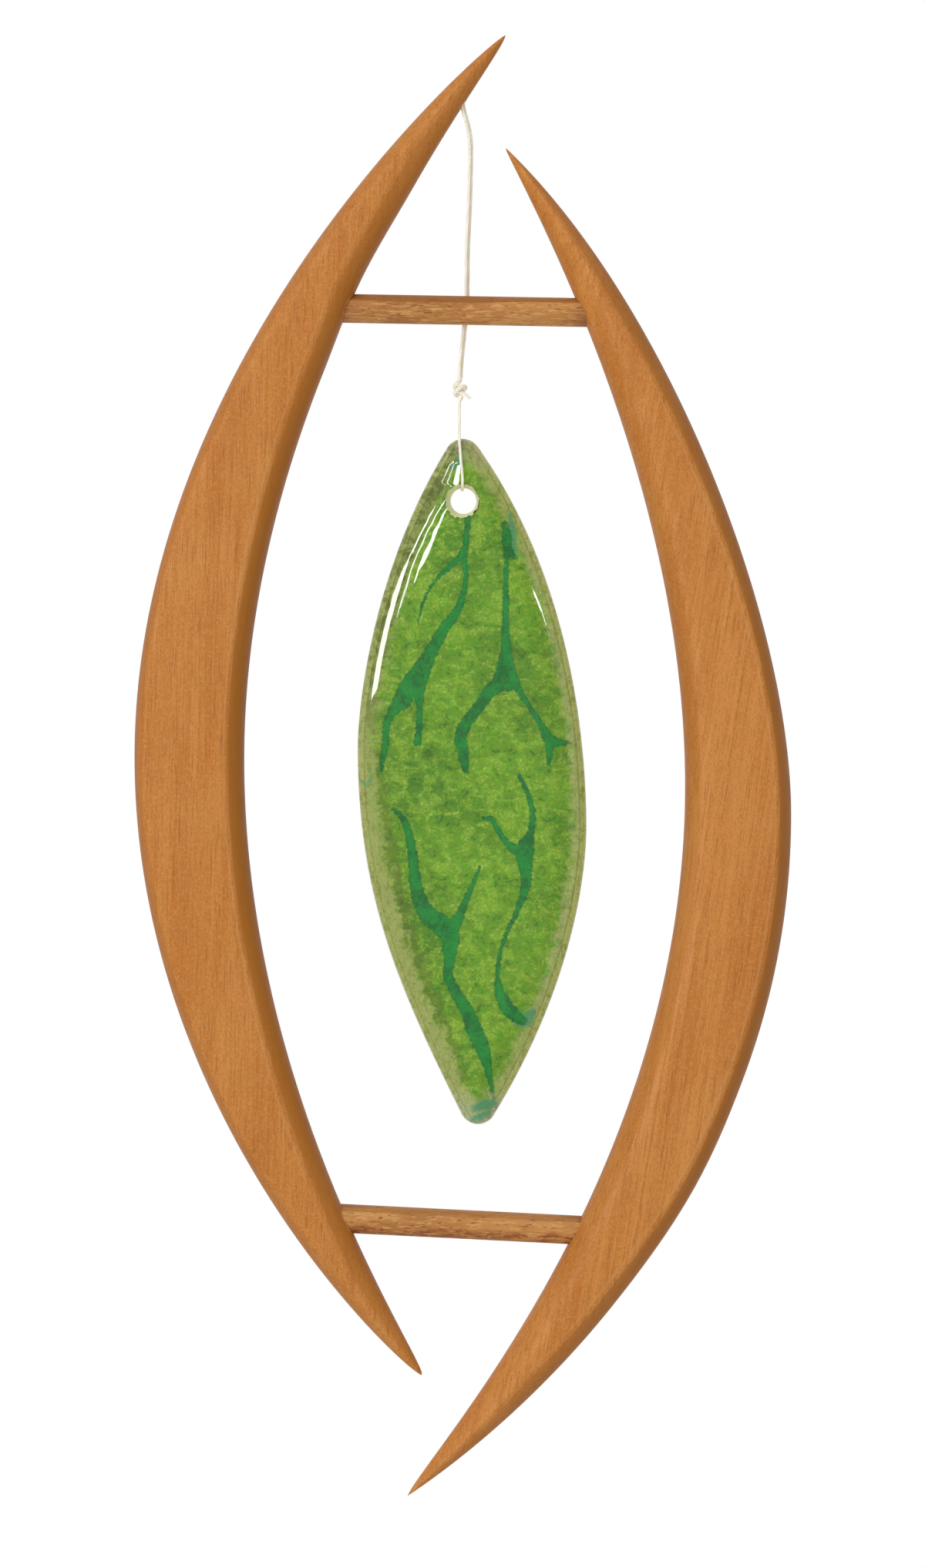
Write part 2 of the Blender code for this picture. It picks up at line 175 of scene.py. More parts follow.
def loft(rings: list[Ring], layer: str) -> Shape:
    """A closed body through the rings: the first is a face, and each next one is extruded from it.

    Args:
        rings: The sections, all with the same number of points.
        layer: The name of the attribute that holds the rings' values.

    Returns:
        The body as a bmesh, its normals facing out.
    """
    bm = bmesh.new()
    held = bm.verts.layers.float.new(layer)
    verts = [bm.verts.new(point) for point in rings[0].points]
    for vert, value in zip(verts, rings[0].values):
        vert[held] = value
    face = bm.faces.new(verts)
    for number, ring in enumerate(rings[1:]):
        place = {vert: index for index, vert in enumerate(verts)}
        made = bmesh.ops.extrude_face_region(bm, geom=[face])["geom"]
        if number > 0:
            bm.faces.remove(face)
        face = next(item for item in made if isinstance(item, bmesh.types.BMFace))
        verts = [None] * len(ring.points)
        for vert in face.verts:
            joined = [edge.other_vert(vert) for edge in vert.link_edges]
            below = next(other for other in joined if other in place)
            verts[place[below]] = vert
        for vert, point, value in zip(verts, ring.points, ring.values):
            vert.co = point
            vert[held] = value
    bmesh.ops.recalc_face_normals(bm, faces=bm.faces)
    return bm


def stand(name: str, data: bpy.types.ID) -> Piece:
    """Makes an object and links it to the scene."""
    obj = bpy.data.objects.new(name, data)
    bpy.context.scene.collection.objects.link(obj)
    return obj


def settle(name: str, bm: Shape, smooth: float, *materials: Material) -> Piece:
    """Makes an object of a finished bmesh.

    Args:
        name: The piece's name.
        bm: Its shape, which is freed.
        smooth: The angle in degrees up to which faces shade as one surface.
        materials: Its materials, in slot order.

    Returns:
        The new object, linked to the scene.
    """
    mesh = bpy.data.meshes.new(name)
    bm.to_mesh(mesh)
    bm.free()
    mesh.shade_smooth()
    mesh.set_sharp_from_angle(angle=math.radians(smooth))
    for material in materials:
        mesh.materials.append(material)
    return stand(name, mesh)


def rod(radius: float, length: float, sides: int) -> Shape:
    """An upright round rod about the origin."""
    bm = bmesh.new()
    bmesh.ops.create_cone(bm, cap_ends=True, segments=sides, radius1=radius, radius2=radius, depth=length)
    return bm


def carve(obj: Piece, cutters: list[Piece], smooth: float) -> None:
    """Cuts the cutters out of an object and removes them. Their own materials line the cuts.

    Args:
        obj: The object to cut.
        cutters: The closed bodies that are subtracted.
        smooth: The angle in degrees up to which faces shade as one surface.
    """
    for cutter in cutters:
        modifier = obj.modifiers.new(cutter.name, "BOOLEAN")
        modifier.operation = "DIFFERENCE"
        modifier.solver = "EXACT"
        modifier.material_mode = "TRANSFER"
        modifier.object = cutter
    shaped = obj.evaluated_get(bpy.context.evaluated_depsgraph_get())
    mesh = bpy.data.meshes.new_from_object(shaped)
    obj.modifiers.clear()
    old = obj.data
    obj.data = mesh
    bpy.data.meshes.remove(old)
    mesh.name = obj.name
    mesh.shade_smooth()
    mesh.set_sharp_from_angle(angle=math.radians(smooth))
    for cutter in cutters:
        bpy.data.objects.remove(cutter, do_unlink=True)


def dress(obj: Piece, slot: Slot, *nodes: str) -> Piece:
    """Lets a piece ride and hides the CAD nodes that it stands for.

    Args:
        obj: The piece.
        slot: Not used.
        nodes: The nodes that it replaces.

    Returns:
        The same piece.
    """
    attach(obj, ROOT)
    if nodes:
        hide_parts(*nodes)
    return obj


class Tree:
    """A node tree, written as short calls."""

    def __init__(self, owner: Material | bpy.types.World) -> None:
        """Takes up the tree of a material or a world."""
        owner.use_nodes = True
        self.nodes = owner.node_tree.nodes
        self.links = owner.node_tree.links

    def feed(self, socket: Socket, value: object) -> None:
        """Links a socket to another one, or sets its plain value."""
        if isinstance(value, Socket):
            self.links.new(value, socket)
        else:
            socket.default_value = value

    def feed_all(self, node: bpy.types.Node, values: dict[str, object]) -> None:
        """Feeds a node's inputs, named with underscores for spaces."""
        for name, value in values.items():
            self.feed(node.inputs[name.replace("_", " ")], value)

    def node(self, kind: str, **values: object) -> bpy.types.Node:
        """Makes a node and feeds its inputs."""
        made = self.nodes.new("ShaderNode" + kind)
        self.feed_all(made, values)
        return made


class Recipe(Tree):
    """A material with one Principled shader, and patterns that read Object coordinates."""

    def __init__(self, name: str) -> None:
        """Starts the material."""
        self.material = bpy.data.materials.new(name)
        super().__init__(self.material)
        self.shader = self.nodes["Principled BSDF"]
        self.place = self.node("TexCoord").outputs["Object"]

    def shade(self, **values: object) -> None:
        """Sets or links the shader's own sockets."""
        self.feed_all(self.shader, values)

    def attribute(self, name: str) -> Socket:
        """The value of a mesh attribute."""
        node = self.node("Attribute")
        node.attribute_name = name
        return node.outputs["Fac"]

    def noise(
        self,
        scale: float,
        detail: float,
        roughness: float = 0.5,
        distortion: float = 0.0,
        stretch: tuple = (1, 1, 1),
        turn: tuple = (0, 0, 0),
    ) -> Socket:
        """Fractal noise.

        Args:
            scale: Features to the metre.
            detail: How many finer layers it has.
            roughness: How strong the finer layers are.
            distortion: How far the pattern is stirred.
            stretch: The scale along each axis, less than 1 for a longer pattern.
            turn: How far the axes turn first, in degrees.

        Returns:
            The noise as a value.
        """
        where = self.place
        if stretch != (1, 1, 1) or turn != (0, 0, 0):
            turned = [math.radians(angle) for angle in turn]
            scales = [1 / factor for factor in stretch]
            mapping = self.node("Mapping", Vector=where, Rotation=turned, Scale=scales)
            mapping.vector_type = "TEXTURE"
            where = mapping.outputs["Vector"]
        node = self.node(
            "TexNoise", Vector=where, Scale=scale, Detail=detail, Roughness=roughness, Distortion=distortion
        )
        return node.outputs["Fac"]

    def crystals(self, scale: float) -> Socket:
        """Voronoi cells, each of one random colour."""
        return self.node("TexVoronoi", Vector=self.place, Scale=scale).outputs["Color"]

    def band(self, value: Socket, low: float, high: float, start: float = 0.0, end: float = 1.0) -> Socket:
        """Stretches a range of a value to another, smoothly and clamped.

        Args:
            value: The value to read.
            low: Where the range starts.
            high: Where it ends.
            start: What low becomes.
            end: What high becomes.

        Returns:
            The new value.
        """
        node = self.node("MapRange", Value=value, From_Min=low, From_Max=high, To_Min=start, To_Max=end)
        node.interpolation_type = "SMOOTHSTEP"
        return node.outputs["Result"]

    def times(self, first: object, second: object) -> Socket:
        """Multiplies two values."""
        return self.sum(first, second, "MULTIPLY")

    def sum(self, first: object, second: object, how: str = "ADD") -> Socket:
        """Adds two values, or joins them in another way."""
        node = self.node("Math")
        node.operation = how
        self.feed(node.inputs[0], first)
        self.feed(node.inputs[1], second)
        return node.outputs["Value"]

    def mix(self, share: object, first: object, second: object, how: str = "MIX") -> Socket:
        """Mixes two colours.

        Args:
            share: How much of the second one shows.
            first: The colour below.
            second: The colour above.
            how: The blend.

        Returns:
            The colour socket.
        """
        node = self.node("Mix")
        node.data_type = "RGBA"
        node.blend_type = how
        self.feed(node.inputs["Factor"], share)
        self.feed(node.inputs[6], first)
        self.feed(node.inputs[7], second)
        return node.outputs[2]

    def layers(self, colour: object, *rows: tuple) -> Socket:
        """Lays paints over a colour one after the other, each where a pattern is strong.

        Args:
            colour: The colour below.
            rows: For each paint its pattern, the values at which it starts and is full, how much of it
                shows when full, and the paint.

        Returns:
            The colour socket.
        """
        for pattern, low, high, cover, upper in rows:
            colour = self.mix(self.band(pattern, low, high, 0, cover), colour, upper)
        return colour

    def bump(self, height: Socket, depth: float, strength: float = 1.0) -> None:
        """Raises the surface by a height pattern, on top of what was raised before.

        Args:
            height: The pattern from 0 to 1.
            depth: Its full height in metres.
            strength: The share of it that shows.
        """
        node = self.node("Bump", Distance=depth, Strength=strength, Height=height)
        earlier = self.shader.inputs["Normal"].links
        if earlier:
            self.feed(node.inputs["Normal"], earlier[0].from_socket)
        self.feed(self.shader.inputs["Normal"], node.outputs["Normal"])


@dataclass(frozen=True)
class LimbFinish:
    """Oiled cherry, upright grain, painted shade on its rounded edges and a paler line on its arrises."""

    name: str
    face: tuple = paint(192, 124, 57)
    pale: tuple = paint(206, 143, 76)
    deep: tuple = paint(178, 104, 38)
    # Edge is the painted shade on the rounded edges.
    edge: tuple = paint(164, 100, 30)
    worn: tuple = paint(222, 168, 108)
    fleck: tuple = paint(134, 78, 32)
    slant: float = 1.5

    def material(self) -> Material:
        """Builds the finish."""
        wood = Recipe(self.name)
        turn = (0, self.slant, 0)
        streaks = wood.noise(110, 4, 0.6, 0.3, stretch=(1, 1, 0.05), turn=turn)
        grain = wood.noise(1000, 3, 0.65, stretch=(1, 1, 0.02), turn=turn)
        fine = wood.noise(2300, 2, 0.6, stretch=(1, 1, 0.05), turn=turn)
        rays = wood.noise(2200, 2, 0.6, stretch=(0.14, 0.3, 1.0), turn=turn)
        clouds = wood.noise(26, 3, 0.5)
        silk = wood.noise(2400, 2, 0.7, stretch=(1, 1, 0.6))
        scuffs = wood.noise(210, 5, 0.8, stretch=(1, 1, 0.5), turn=(0, 24, 0))
        edge = wood.attribute("edge")
        colour = wood.layers(
            self.face,
            (streaks, 0.40, 0.62, 0.6, self.deep),
            (clouds, 0.45, 0.72, 0.5, self.pale),
            (grain, 0.50, 0.68, 0.65, self.deep),
            (grain, 0.46, 0.34, 0.45, self.pale),
            (rays, 0.52, 0.66, 0.30, self.pale),
            (silk, 0.50, 0.64, 0.45, self.pale),
            (silk, 0.50, 0.36, 0.4, self.deep),
            (fine, 0.54, 0.70, 0.4, self.fleck),
            (scuffs, 0.72, 0.78, 0.5, self.worn),
            # Painted shade on the rounded edges, darkest right at the edge; below 0 a paler line runs on
            # the arris.
            (edge, 0.02, 0.75, 0.9, self.edge),
            (edge, 0.80, 1.0, 0.5, self.fleck),
            (edge, -0.08, -0.3, 0.22, self.worn),
        )
        gloss = wood.band(grain, 0.3, 0.7, 0.42, 0.56)
        wood.shade(Base_Color=colour, Roughness=gloss, Specular_IOR_Level=0.18)
        wood.bump(fine, 0.00005, 0.5)
        wood.bump(grain, 0.00008, 0.5)
        return wood.material


@dataclass(frozen=True)
class DowelFinish:
    """Oiled beech: short dark flecks along the dowel, a pale wavy figure and stains near its ends.

    The top shade is how much its top is painted darker as shade, the foot how blotched its underside is.
    """

    name: str
    top_shade: float
    foot: float
    face: tuple = paint(192, 134, 70)
    pale: tuple = paint(214, 160, 98)
    deep: tuple = paint(154, 96, 42)
    fleck: tuple = paint(116, 60, 26)
    blot: tuple = paint(146, 76, 38)

    def material(self) -> Material:
        """Builds the finish."""
        wood = Recipe(self.name)
        figure = wood.noise(1500, 2, 0.6, 0.8, stretch=(0.16, 1, 1))
        grain = wood.noise(1300, 3, 0.6, stretch=(0.05, 1, 1))
        flecks = wood.noise(2700, 1, 0.4, stretch=(0.16, 1, 1))
        clouds = wood.noise(130, 3, 0.5, stretch=(0.25, 1, 1))
        blots = wood.noise(800, 3, 0.65, stretch=(0.3, 1, 1))
        rise = wood.sum(wood.attribute("height"), wood.band(clouds, 0.3, 0.7, -0.08, 0.08))
        low = wood.times(wood.band(rise, -0.10, -0.50, 0, self.foot), wood.band(blots, 0.47, 0.58))
        stain = wood.times(wood.attribute("end"), wood.band(clouds, 0.4, 0.6, 0.3, 1.0))
        colour = wood.layers(
            self.face,
            (clouds, 0.40, 0.70, 0.7, self.deep),
            (figure, 0.48, 0.64, 0.7, self.pale),
            (grain, 0.52, 0.75, 0.5, self.deep),
            # Painted shade: the top of the dowel is painted darker.
            (rise, 0.50, 0.56, self.top_shade, self.deep),
        )
        colour = wood.mix(low, colour, self.blot)
        colour = wood.layers(colour, (flecks, 0.64, 0.72, 0.8, self.fleck))
        colour = wood.mix(stain, colour, self.fleck)
        gloss = wood.band(grain, 0.3, 0.7, 0.42, 0.58)
        wood.shade(Base_Color=colour, Roughness=gloss, Specular_IOR_Level=0.3)
        wood.bump(flecks, 0.00006, 0.6)
        wood.bump(grain, 0.00008, 0.5)
        return wood.material


@dataclass(frozen=True)
class ClearGlass:
    """Fire-polished clear glass with an olive cast that deepens with its thickness."""

    name: str
    roughness: float = 0.02
    tint: tuple = (0.97, 0.98, 0.93, 1.0)
    clarity: float = 1.0
    cast: tuple = (0.60, 0.68, 0.10, 1.0)
    cast_depth: float = 110.0
    ripple: float = 0.00004

    def material(self) -> Material:
        """Builds the finish."""
        glass = Recipe(self.name)
        glass.shade(
            Base_Color=self.tint, Roughness=self.roughness, IOR=1.5, Transmission_Weight=self.clarity
        )
        glass.bump(glass.noise(120, 1, 0.5), self.ripple)
        body = glass.node("VolumeAbsorption", Color=self.cast, Density=self.cast_depth)
        out = next(node for node in glass.nodes if node.type == "OUTPUT_MATERIAL")
        glass.feed(out.inputs["Volume"], body.outputs["Volume"])
        return glass.material


@dataclass(frozen=True)
class Frit:
    """Crushed green glass fused into one layer, with deep green veins laid on it.

    Grains of several greens lie in clusters with pale sparks. Towards the leaf's sides the layer thins
    out to a beige haze of fine bubbles with a dark line in it. The haze is partly painted light: it is
    paler on the right and at the tips for the light through the clear rim, and its outer millimetre is a
    painted highlight where the glass's edge catches light. At the upper and lower left a painted olive
    shadow lies on the layer. Reaches are millimetres in from a side, and heights and ends are metres.
    """

    name: str
    base: tuple = paint(144, 208, 42)
    pale: tuple = paint(216, 252, 88)
    deep: tuple = paint(112, 180, 36)
    dark: tuple = paint(84, 140, 28)
    # Olive is painted shadow at the upper and lower left.
    olive: tuple = paint(128, 146, 50)
    spark: tuple = paint(246, 255, 160)
    # The haze colours are partly painted light: paler on the right and at the tips for the light through
    # the clear rim.
    left_haze: tuple = paint(246, 248, 170)
    right_haze_lit: tuple = paint(255, 255, 172)
    top_haze: tuple = paint(255, 246, 206)
    bottom_haze: tuple = paint(255, 255, 228)
    smear: tuple = paint(176, 196, 84)
    line: tuple = paint(124, 126, 52)
    vein: tuple = paint(0, 184, 74)
    vein_deep: tuple = paint(0, 124, 58)
    vein_pale: tuple = paint(50, 206, 84)
    teal: tuple = paint(92, 204, 158)
    left_reach: float = 4.2
    low_reach: float = 5.6
    right_reach: float = 3.2
    side_blend: float = 0.004
    shade_heights: tuple = (-0.200, -0.150)
    low_heights: tuple = (-0.175, -0.235)
    high_heights: tuple = (-0.130, -0.115)
    low_shadow_heights: tuple = (-0.175, -0.205)
    top_end: tuple = (-0.110, -0.105)
    bottom_end: tuple = (-0.2815, -0.2860)

    def grains(self, frit: Recipe) -> tuple:
        """The green of the crushed glass.

        Args:
            frit: The material's tree.

        Returns:
            The colour, the pattern of clusters and two patterns of fine grains.
        """
        clouds = frit.noise(42, 4, 0.55)
        patches = frit.noise(300, 4, 0.65, 0.6, stretch=(1, 1, 1.3))
        tints = frit.crystals(1500)
        specks = frit.noise(1900, 2, 0.7)
        glints = frit.noise(1500, 3, 0.85, stretch=(1, 1, 1), turn=(0, 30, 0))
        cluster = frit.band(patches, 0.44, 0.62)
        colour = frit.layers(
            self.base, (clouds, 0.42, 0.66, 0.8, self.deep), (patches, 0.42, 0.30, 0.8, self.dark)
        )
        colour = frit.mix(frit.times(cluster, 0.45), colour, self.pale)
        colour = frit.mix(0.2, colour, tints, "OVERLAY")
        colour = frit.layers(colour, (specks, 0.56, 0.70, 0.5, self.dark))
        colour = frit.mix(frit.times(cluster, frit.band(glints, 0.50, 0.62)), colour, self.pale)
        sparks = frit.times(frit.band(cluster, 0, 1, 0.35, 1), frit.band(glints, 0.60, 0.68))
        return frit.mix(sparks, colour, self.spark), patches, specks, glints

    def rims(self, frit: Recipe, colour: object, patches: object, glints: object) -> tuple:
        """The haze, painted olive shadow, painted edge highlight and the line along the leaf's sides.

        Args:
            frit: The material's tree.
            colour: The colour of the grains.
            patches: The pattern of clusters.
            glints: A pattern of fine grains.

        Returns:
            The colour and where the haze lies.
        """
        inward = frit.attribute("inward")
        parts = frit.node("SeparateXYZ", Vector=frit.place)
        height = parts.outputs["Z"]
        leftward = frit.band(parts.outputs["X"], self.side_blend, -self.side_blend)
        through = (1, 0.02, 1)
        grit = frit.noise(620, 5, 0.85)
        along = frit.noise(650, 4, 0.7, stretch=(1, 0.02, 0.35))
        ragged = frit.band(frit.noise(300, 4, 0.7, 0.5, stretch=through), 0.3, 0.7, -1.8, 1.8)
        upward = frit.band(height, *self.shade_heights)
        near = frit.band(inward, 5.2, 3.8)
        # Painted shadow: olive at the upper left, a few millimetres in from the side.
        shadow = frit.times(frit.times(upward, leftward), near)
        shadow = frit.times(shadow, frit.band(patches, 0.40, 0.58, 0.95, 0.35))
        low = frit.band(height, *self.low_heights, self.left_reach, self.low_reach)
        high = frit.band(height, *self.high_heights, self.right_reach, self.left_reach)
        reach = frit.sum(frit.times(leftward, low), frit.times(frit.band(leftward, 1, 0), high))
        solid = frit.sum(frit.sum(inward, ragged), reach, "SUBTRACT")
        ending = frit.sum(height, frit.times(ragged, 0.0009))
        ends = frit.sum(frit.band(ending, *self.top_end), frit.band(ending, *self.bottom_end), "MAXIMUM")
        hazy = frit.sum(frit.band(solid, 2.2, -1.8), frit.times(ends, 0.85), "MAXIMUM")
        hazy = frit.times(hazy, frit.band(grit, 0.48, 0.60, 1.0, 0.5))
        # Painted shadow: a dark olive band at the inner edge of the haze on the lower left.
        low_shadow = frit.times(frit.band(solid, 0.2, 1.2), frit.band(solid, 4.6, 2.6))
        low_shadow = frit.times(low_shadow, frit.times(leftward, frit.band(height, *self.low_shadow_heights, 0, 0.5)))
        haze = frit.layers(
            frit.mix(leftward, self.right_haze_lit, self.left_haze),
            (height, -0.112, -0.105, 1, self.top_haze),
            (height, -0.280, -0.287, 1, self.bottom_haze),
            (along, 0.50, 0.66, 0.6, self.smear),
            (grit, 0.50, 0.36, 0.75, self.smear),
        )
        colour = frit.mix(frit.times(hazy, 0.95), colour, haze)
        colour = frit.mix(frit.sum(shadow, low_shadow, "MAXIMUM"), colour, self.olive)
        flecks = frit.times(frit.sum(near, hazy, "MAXIMUM"), frit.band(glints, 0.59, 0.65, 0, 0.75))
        colour = frit.mix(flecks, colour, self.spark)
        wave = frit.sum(inward, frit.band(frit.noise(900, 2, 0.5, stretch=through), 0.3, 0.7, -1.75, -1.45))
        line = frit.band(frit.sum(wave, 0.0, "ABSOLUTE"), 0.22, 0.06, 0, 0.8)
        colour = frit.mix(frit.times(line, frit.band(leftward, 0, 1, 0.5, 0.4)), colour, self.line)
        # Painted highlight: the outer millimetre is pale where the glass's edge catches light, less in the
        # painted shadow.
        edge_highlight = frit.times(frit.band(inward, 1.45, 1.25, 0, 0.9), frit.band(shadow, 0, 1, 1, 0.35))
        return frit.mix(edge_highlight, colour, haze), hazy

    def material(self) -> Material:
        """Builds the finish."""
        frit = Recipe(self.name)
        colour, patches, specks, glints = self.grains(frit)
        colour, hazy = self.rims(frit, colour, patches, glints)
        clouds = frit.noise(240, 4, 0.65)
        crumbs = frit.noise(1100, 3, 0.75)
        depth = frit.attribute("vein")
        body = frit.layers(
            self.vein,
            (clouds, 0.46, 0.62, 0.8, self.vein_deep),
            (clouds, 0.44, 0.32, 0.5, self.vein_pale),
            (specks, 0.50, 0.66, 0.5, self.vein_deep),
            (crumbs, 0.50, 0.36, 0.5, self.vein_pale),
            (depth, 0.6, 0.1, 0.6, self.vein_deep),
        )
        fray = frit.band(crumbs, 0.3, 0.7, -0.26, 0.26)
        smudge = frit.sum(frit.attribute("smudge"), fray)
        colour = frit.layers(colour, (smudge, -0.6, 0.6, 0.85, self.teal))
        vein = frit.band(frit.sum(depth, fray), -0.2, 0.25, 0, 0.96)
        colour = frit.mix(frit.times(vein, frit.band(hazy, 0.2, 1.0, 1.0, 0.45)), colour, body)
        cover = frit.band(hazy, 0, 1, 1.0, 0.9)
        frit.shade(Base_Color=colour, Roughness=0.35, Specular_IOR_Level=0.3, Alpha=cover)
        frit.bump(specks, 0.0002, 0.7)
        frit.bump(patches, 0.0004, 0.6)
        return frit.material


@dataclass(frozen=True)
class ThreadFinish:
    """Pale beige cord that lets a little light through, its lay drawn by the mesh's ply attribute."""

    name: str
    light: tuple = paint(252, 247, 236)
    shade: tuple = paint(242, 232, 210)

    def material(self) -> Material:
        """Builds the finish."""
        cord = Recipe(self.name)
        ply = cord.attribute("ply")
        fuzz = cord.noise(1600, 2, 0.5)
        colour = cord.mix(cord.band(ply, -0.9, 0.7), self.shade, self.light)
        colour = cord.mix(cord.band(fuzz, 0.5, 0.7, 0, 0.2), colour, self.shade)
        cord.shade(
            Base_Color=colour,
            Roughness=cord.band(fuzz, 0.3, 0.7, 0.35, 0.5),
            Subsurface_Weight=0.6,
            Subsurface_Radius=(0.6, 0.5, 0.4),
            Subsurface_Scale=0.001,
        )
        cord.bump(fuzz, 0.00001, 0.4)
        return cord.material


@dataclass(frozen=True)
class SoftBox:
    """A rectangular lamp of the studio."""

    name: str
    place: tuple
    width: float
    height: float
    power: float
    target: tuple = (0.0, 0.0, -0.2)

    def hang(self) -> None:
        """Makes the lamp and turns it to its target."""
        data = bpy.data.lights.new(self.name, "AREA")
        data.shape = "RECTANGLE"
        data.size = self.width
        data.size_y = self.height
        data.energy = self.power
        lamp = stand(self.name, data)
        lamp.location = self.place
        facing = Vector(self.target) - Vector(self.place)
        lamp.rotation_euler = facing.to_track_quat("-Z", "Y").to_euler()


# The keys and the fill model the wood, and the others are the highlights on the glass.
LAMPS = (
    SoftBox("high_key", (-0.60, -1.2, 1.0), 0.7, 0.7, 8.0),
    SoftBox("low_key", (-0.60, -1.2, -1.4), 0.7, 0.7, 8.0),
    SoftBox("right_fill", (0.95, -1.3, -0.2), 0.6, 1.0, 1.3),
    SoftBox("long_streak", (-0.80, -1.2, 0.063), 0.34, 0.22, 4.9),
    SoftBox("thin_streak", (-0.49, -1.2, 0.123), 0.16, 0.02, 0.30),
    SoftBox("inner_streak", (-0.30, -1.2, 0.041), 0.19, 0.011, 0.17),
    SoftBox("inner_end", (-0.375, -1.2, 0.008), 0.05, 0.05, 0.13),
    SoftBox("wedge", (-0.15, -1.2, -0.032), 0.10, 0.03, 0.24),
    SoftBox("right_streak", (0.56, -1.2, 0.055), 0.15, 0.026, 0.30),
)


@dataclass
class Studio:
    """A long lens straight on, soft lamps, a white surround and a pale floor well below the piece."""

    centre: tuple = (0.0001, 0.0, -0.1971)
    frame_height: float = 0.4341
    distance: float = 1.6
    sensor: float = 36.0
    front_light: float = 0.46
    back_light: float = 0.85
    light_turn: tuple = (-0.3, 0.5)
    floor_height: float = -0.62
    floor_half: float = 0.7
    floor_tones: tuple = ((0.86, 0.86, 0.85, 1), (0.9, 0.9, 0.89, 1))

    def camera(self) -> None:
        """Sets up the camera. The sensor lies along the picture's long, upright side."""
        data = bpy.data.cameras.new("front_camera")
        data.sensor_width = self.sensor
        data.lens = self.sensor * self.distance / self.frame_height
        data.clip_end = 50.0
        camera = stand("front_camera", data)
        camera.location = (self.centre[0], -self.distance, self.centre[2])
        camera.rotation_euler = (math.pi / 2, 0, 0)
        bpy.context.scene.camera = camera

    def surroundings(self) -> None:
        """White to the camera, and dimmer as a light, so that the lamps still model the shapes."""
        world = bpy.data.worlds.new("surround")
        bpy.context.scene.world = world
        bpy.context.scene.view_settings.view_transform = "Standard"
        tree = Tree(world)
        parts = tree.node("SeparateXYZ", Vector=tree.node("TexCoord").outputs["Generated"])
        light = tree.node(
            "MapRange",
            Value=parts.outputs["Y"],
            From_Min=self.light_turn[0],
            From_Max=self.light_turn[1],
            To_Min=self.front_light,
            To_Max=self.back_light,
        )
        seen = tree.node("LightPath").outputs["Is Camera Ray"]
        strength = tree.node("MapRange", Value=seen, To_Min=light.outputs["Result"], To_Max=1.0)
        backdrop = tree.nodes["Background"]
        tree.feed_all(backdrop, {"Color": (1, 1, 1, 1), "Strength": strength.outputs["Result"]})

    def floor(self) -> None:
        """Lays the floor."""
        paper = Recipe("floor_paper")
        grain = paper.noise(300, 3)
        tone = paper.mix(paper.band(grain, 0.3, 0.7), *self.floor_tones)
        paper.shade(Base_Color=tone, Roughness=0.8)
        bm = bmesh.new()
        bmesh.ops.create_grid(bm, x_segments=1, y_segments=1, size=self.floor_half)
        bmesh.ops.translate(bm, vec=(0, 0, self.floor_height), verts=bm.verts)
        settle("floor", bm, TOOL_SMOOTH, paper.material)

    def build(self) -> None:
        """Sets up everything but the piece."""
        self.camera()
        self.surroundings()
        for lamp in LAMPS:
            lamp.hang()
        self.floor()


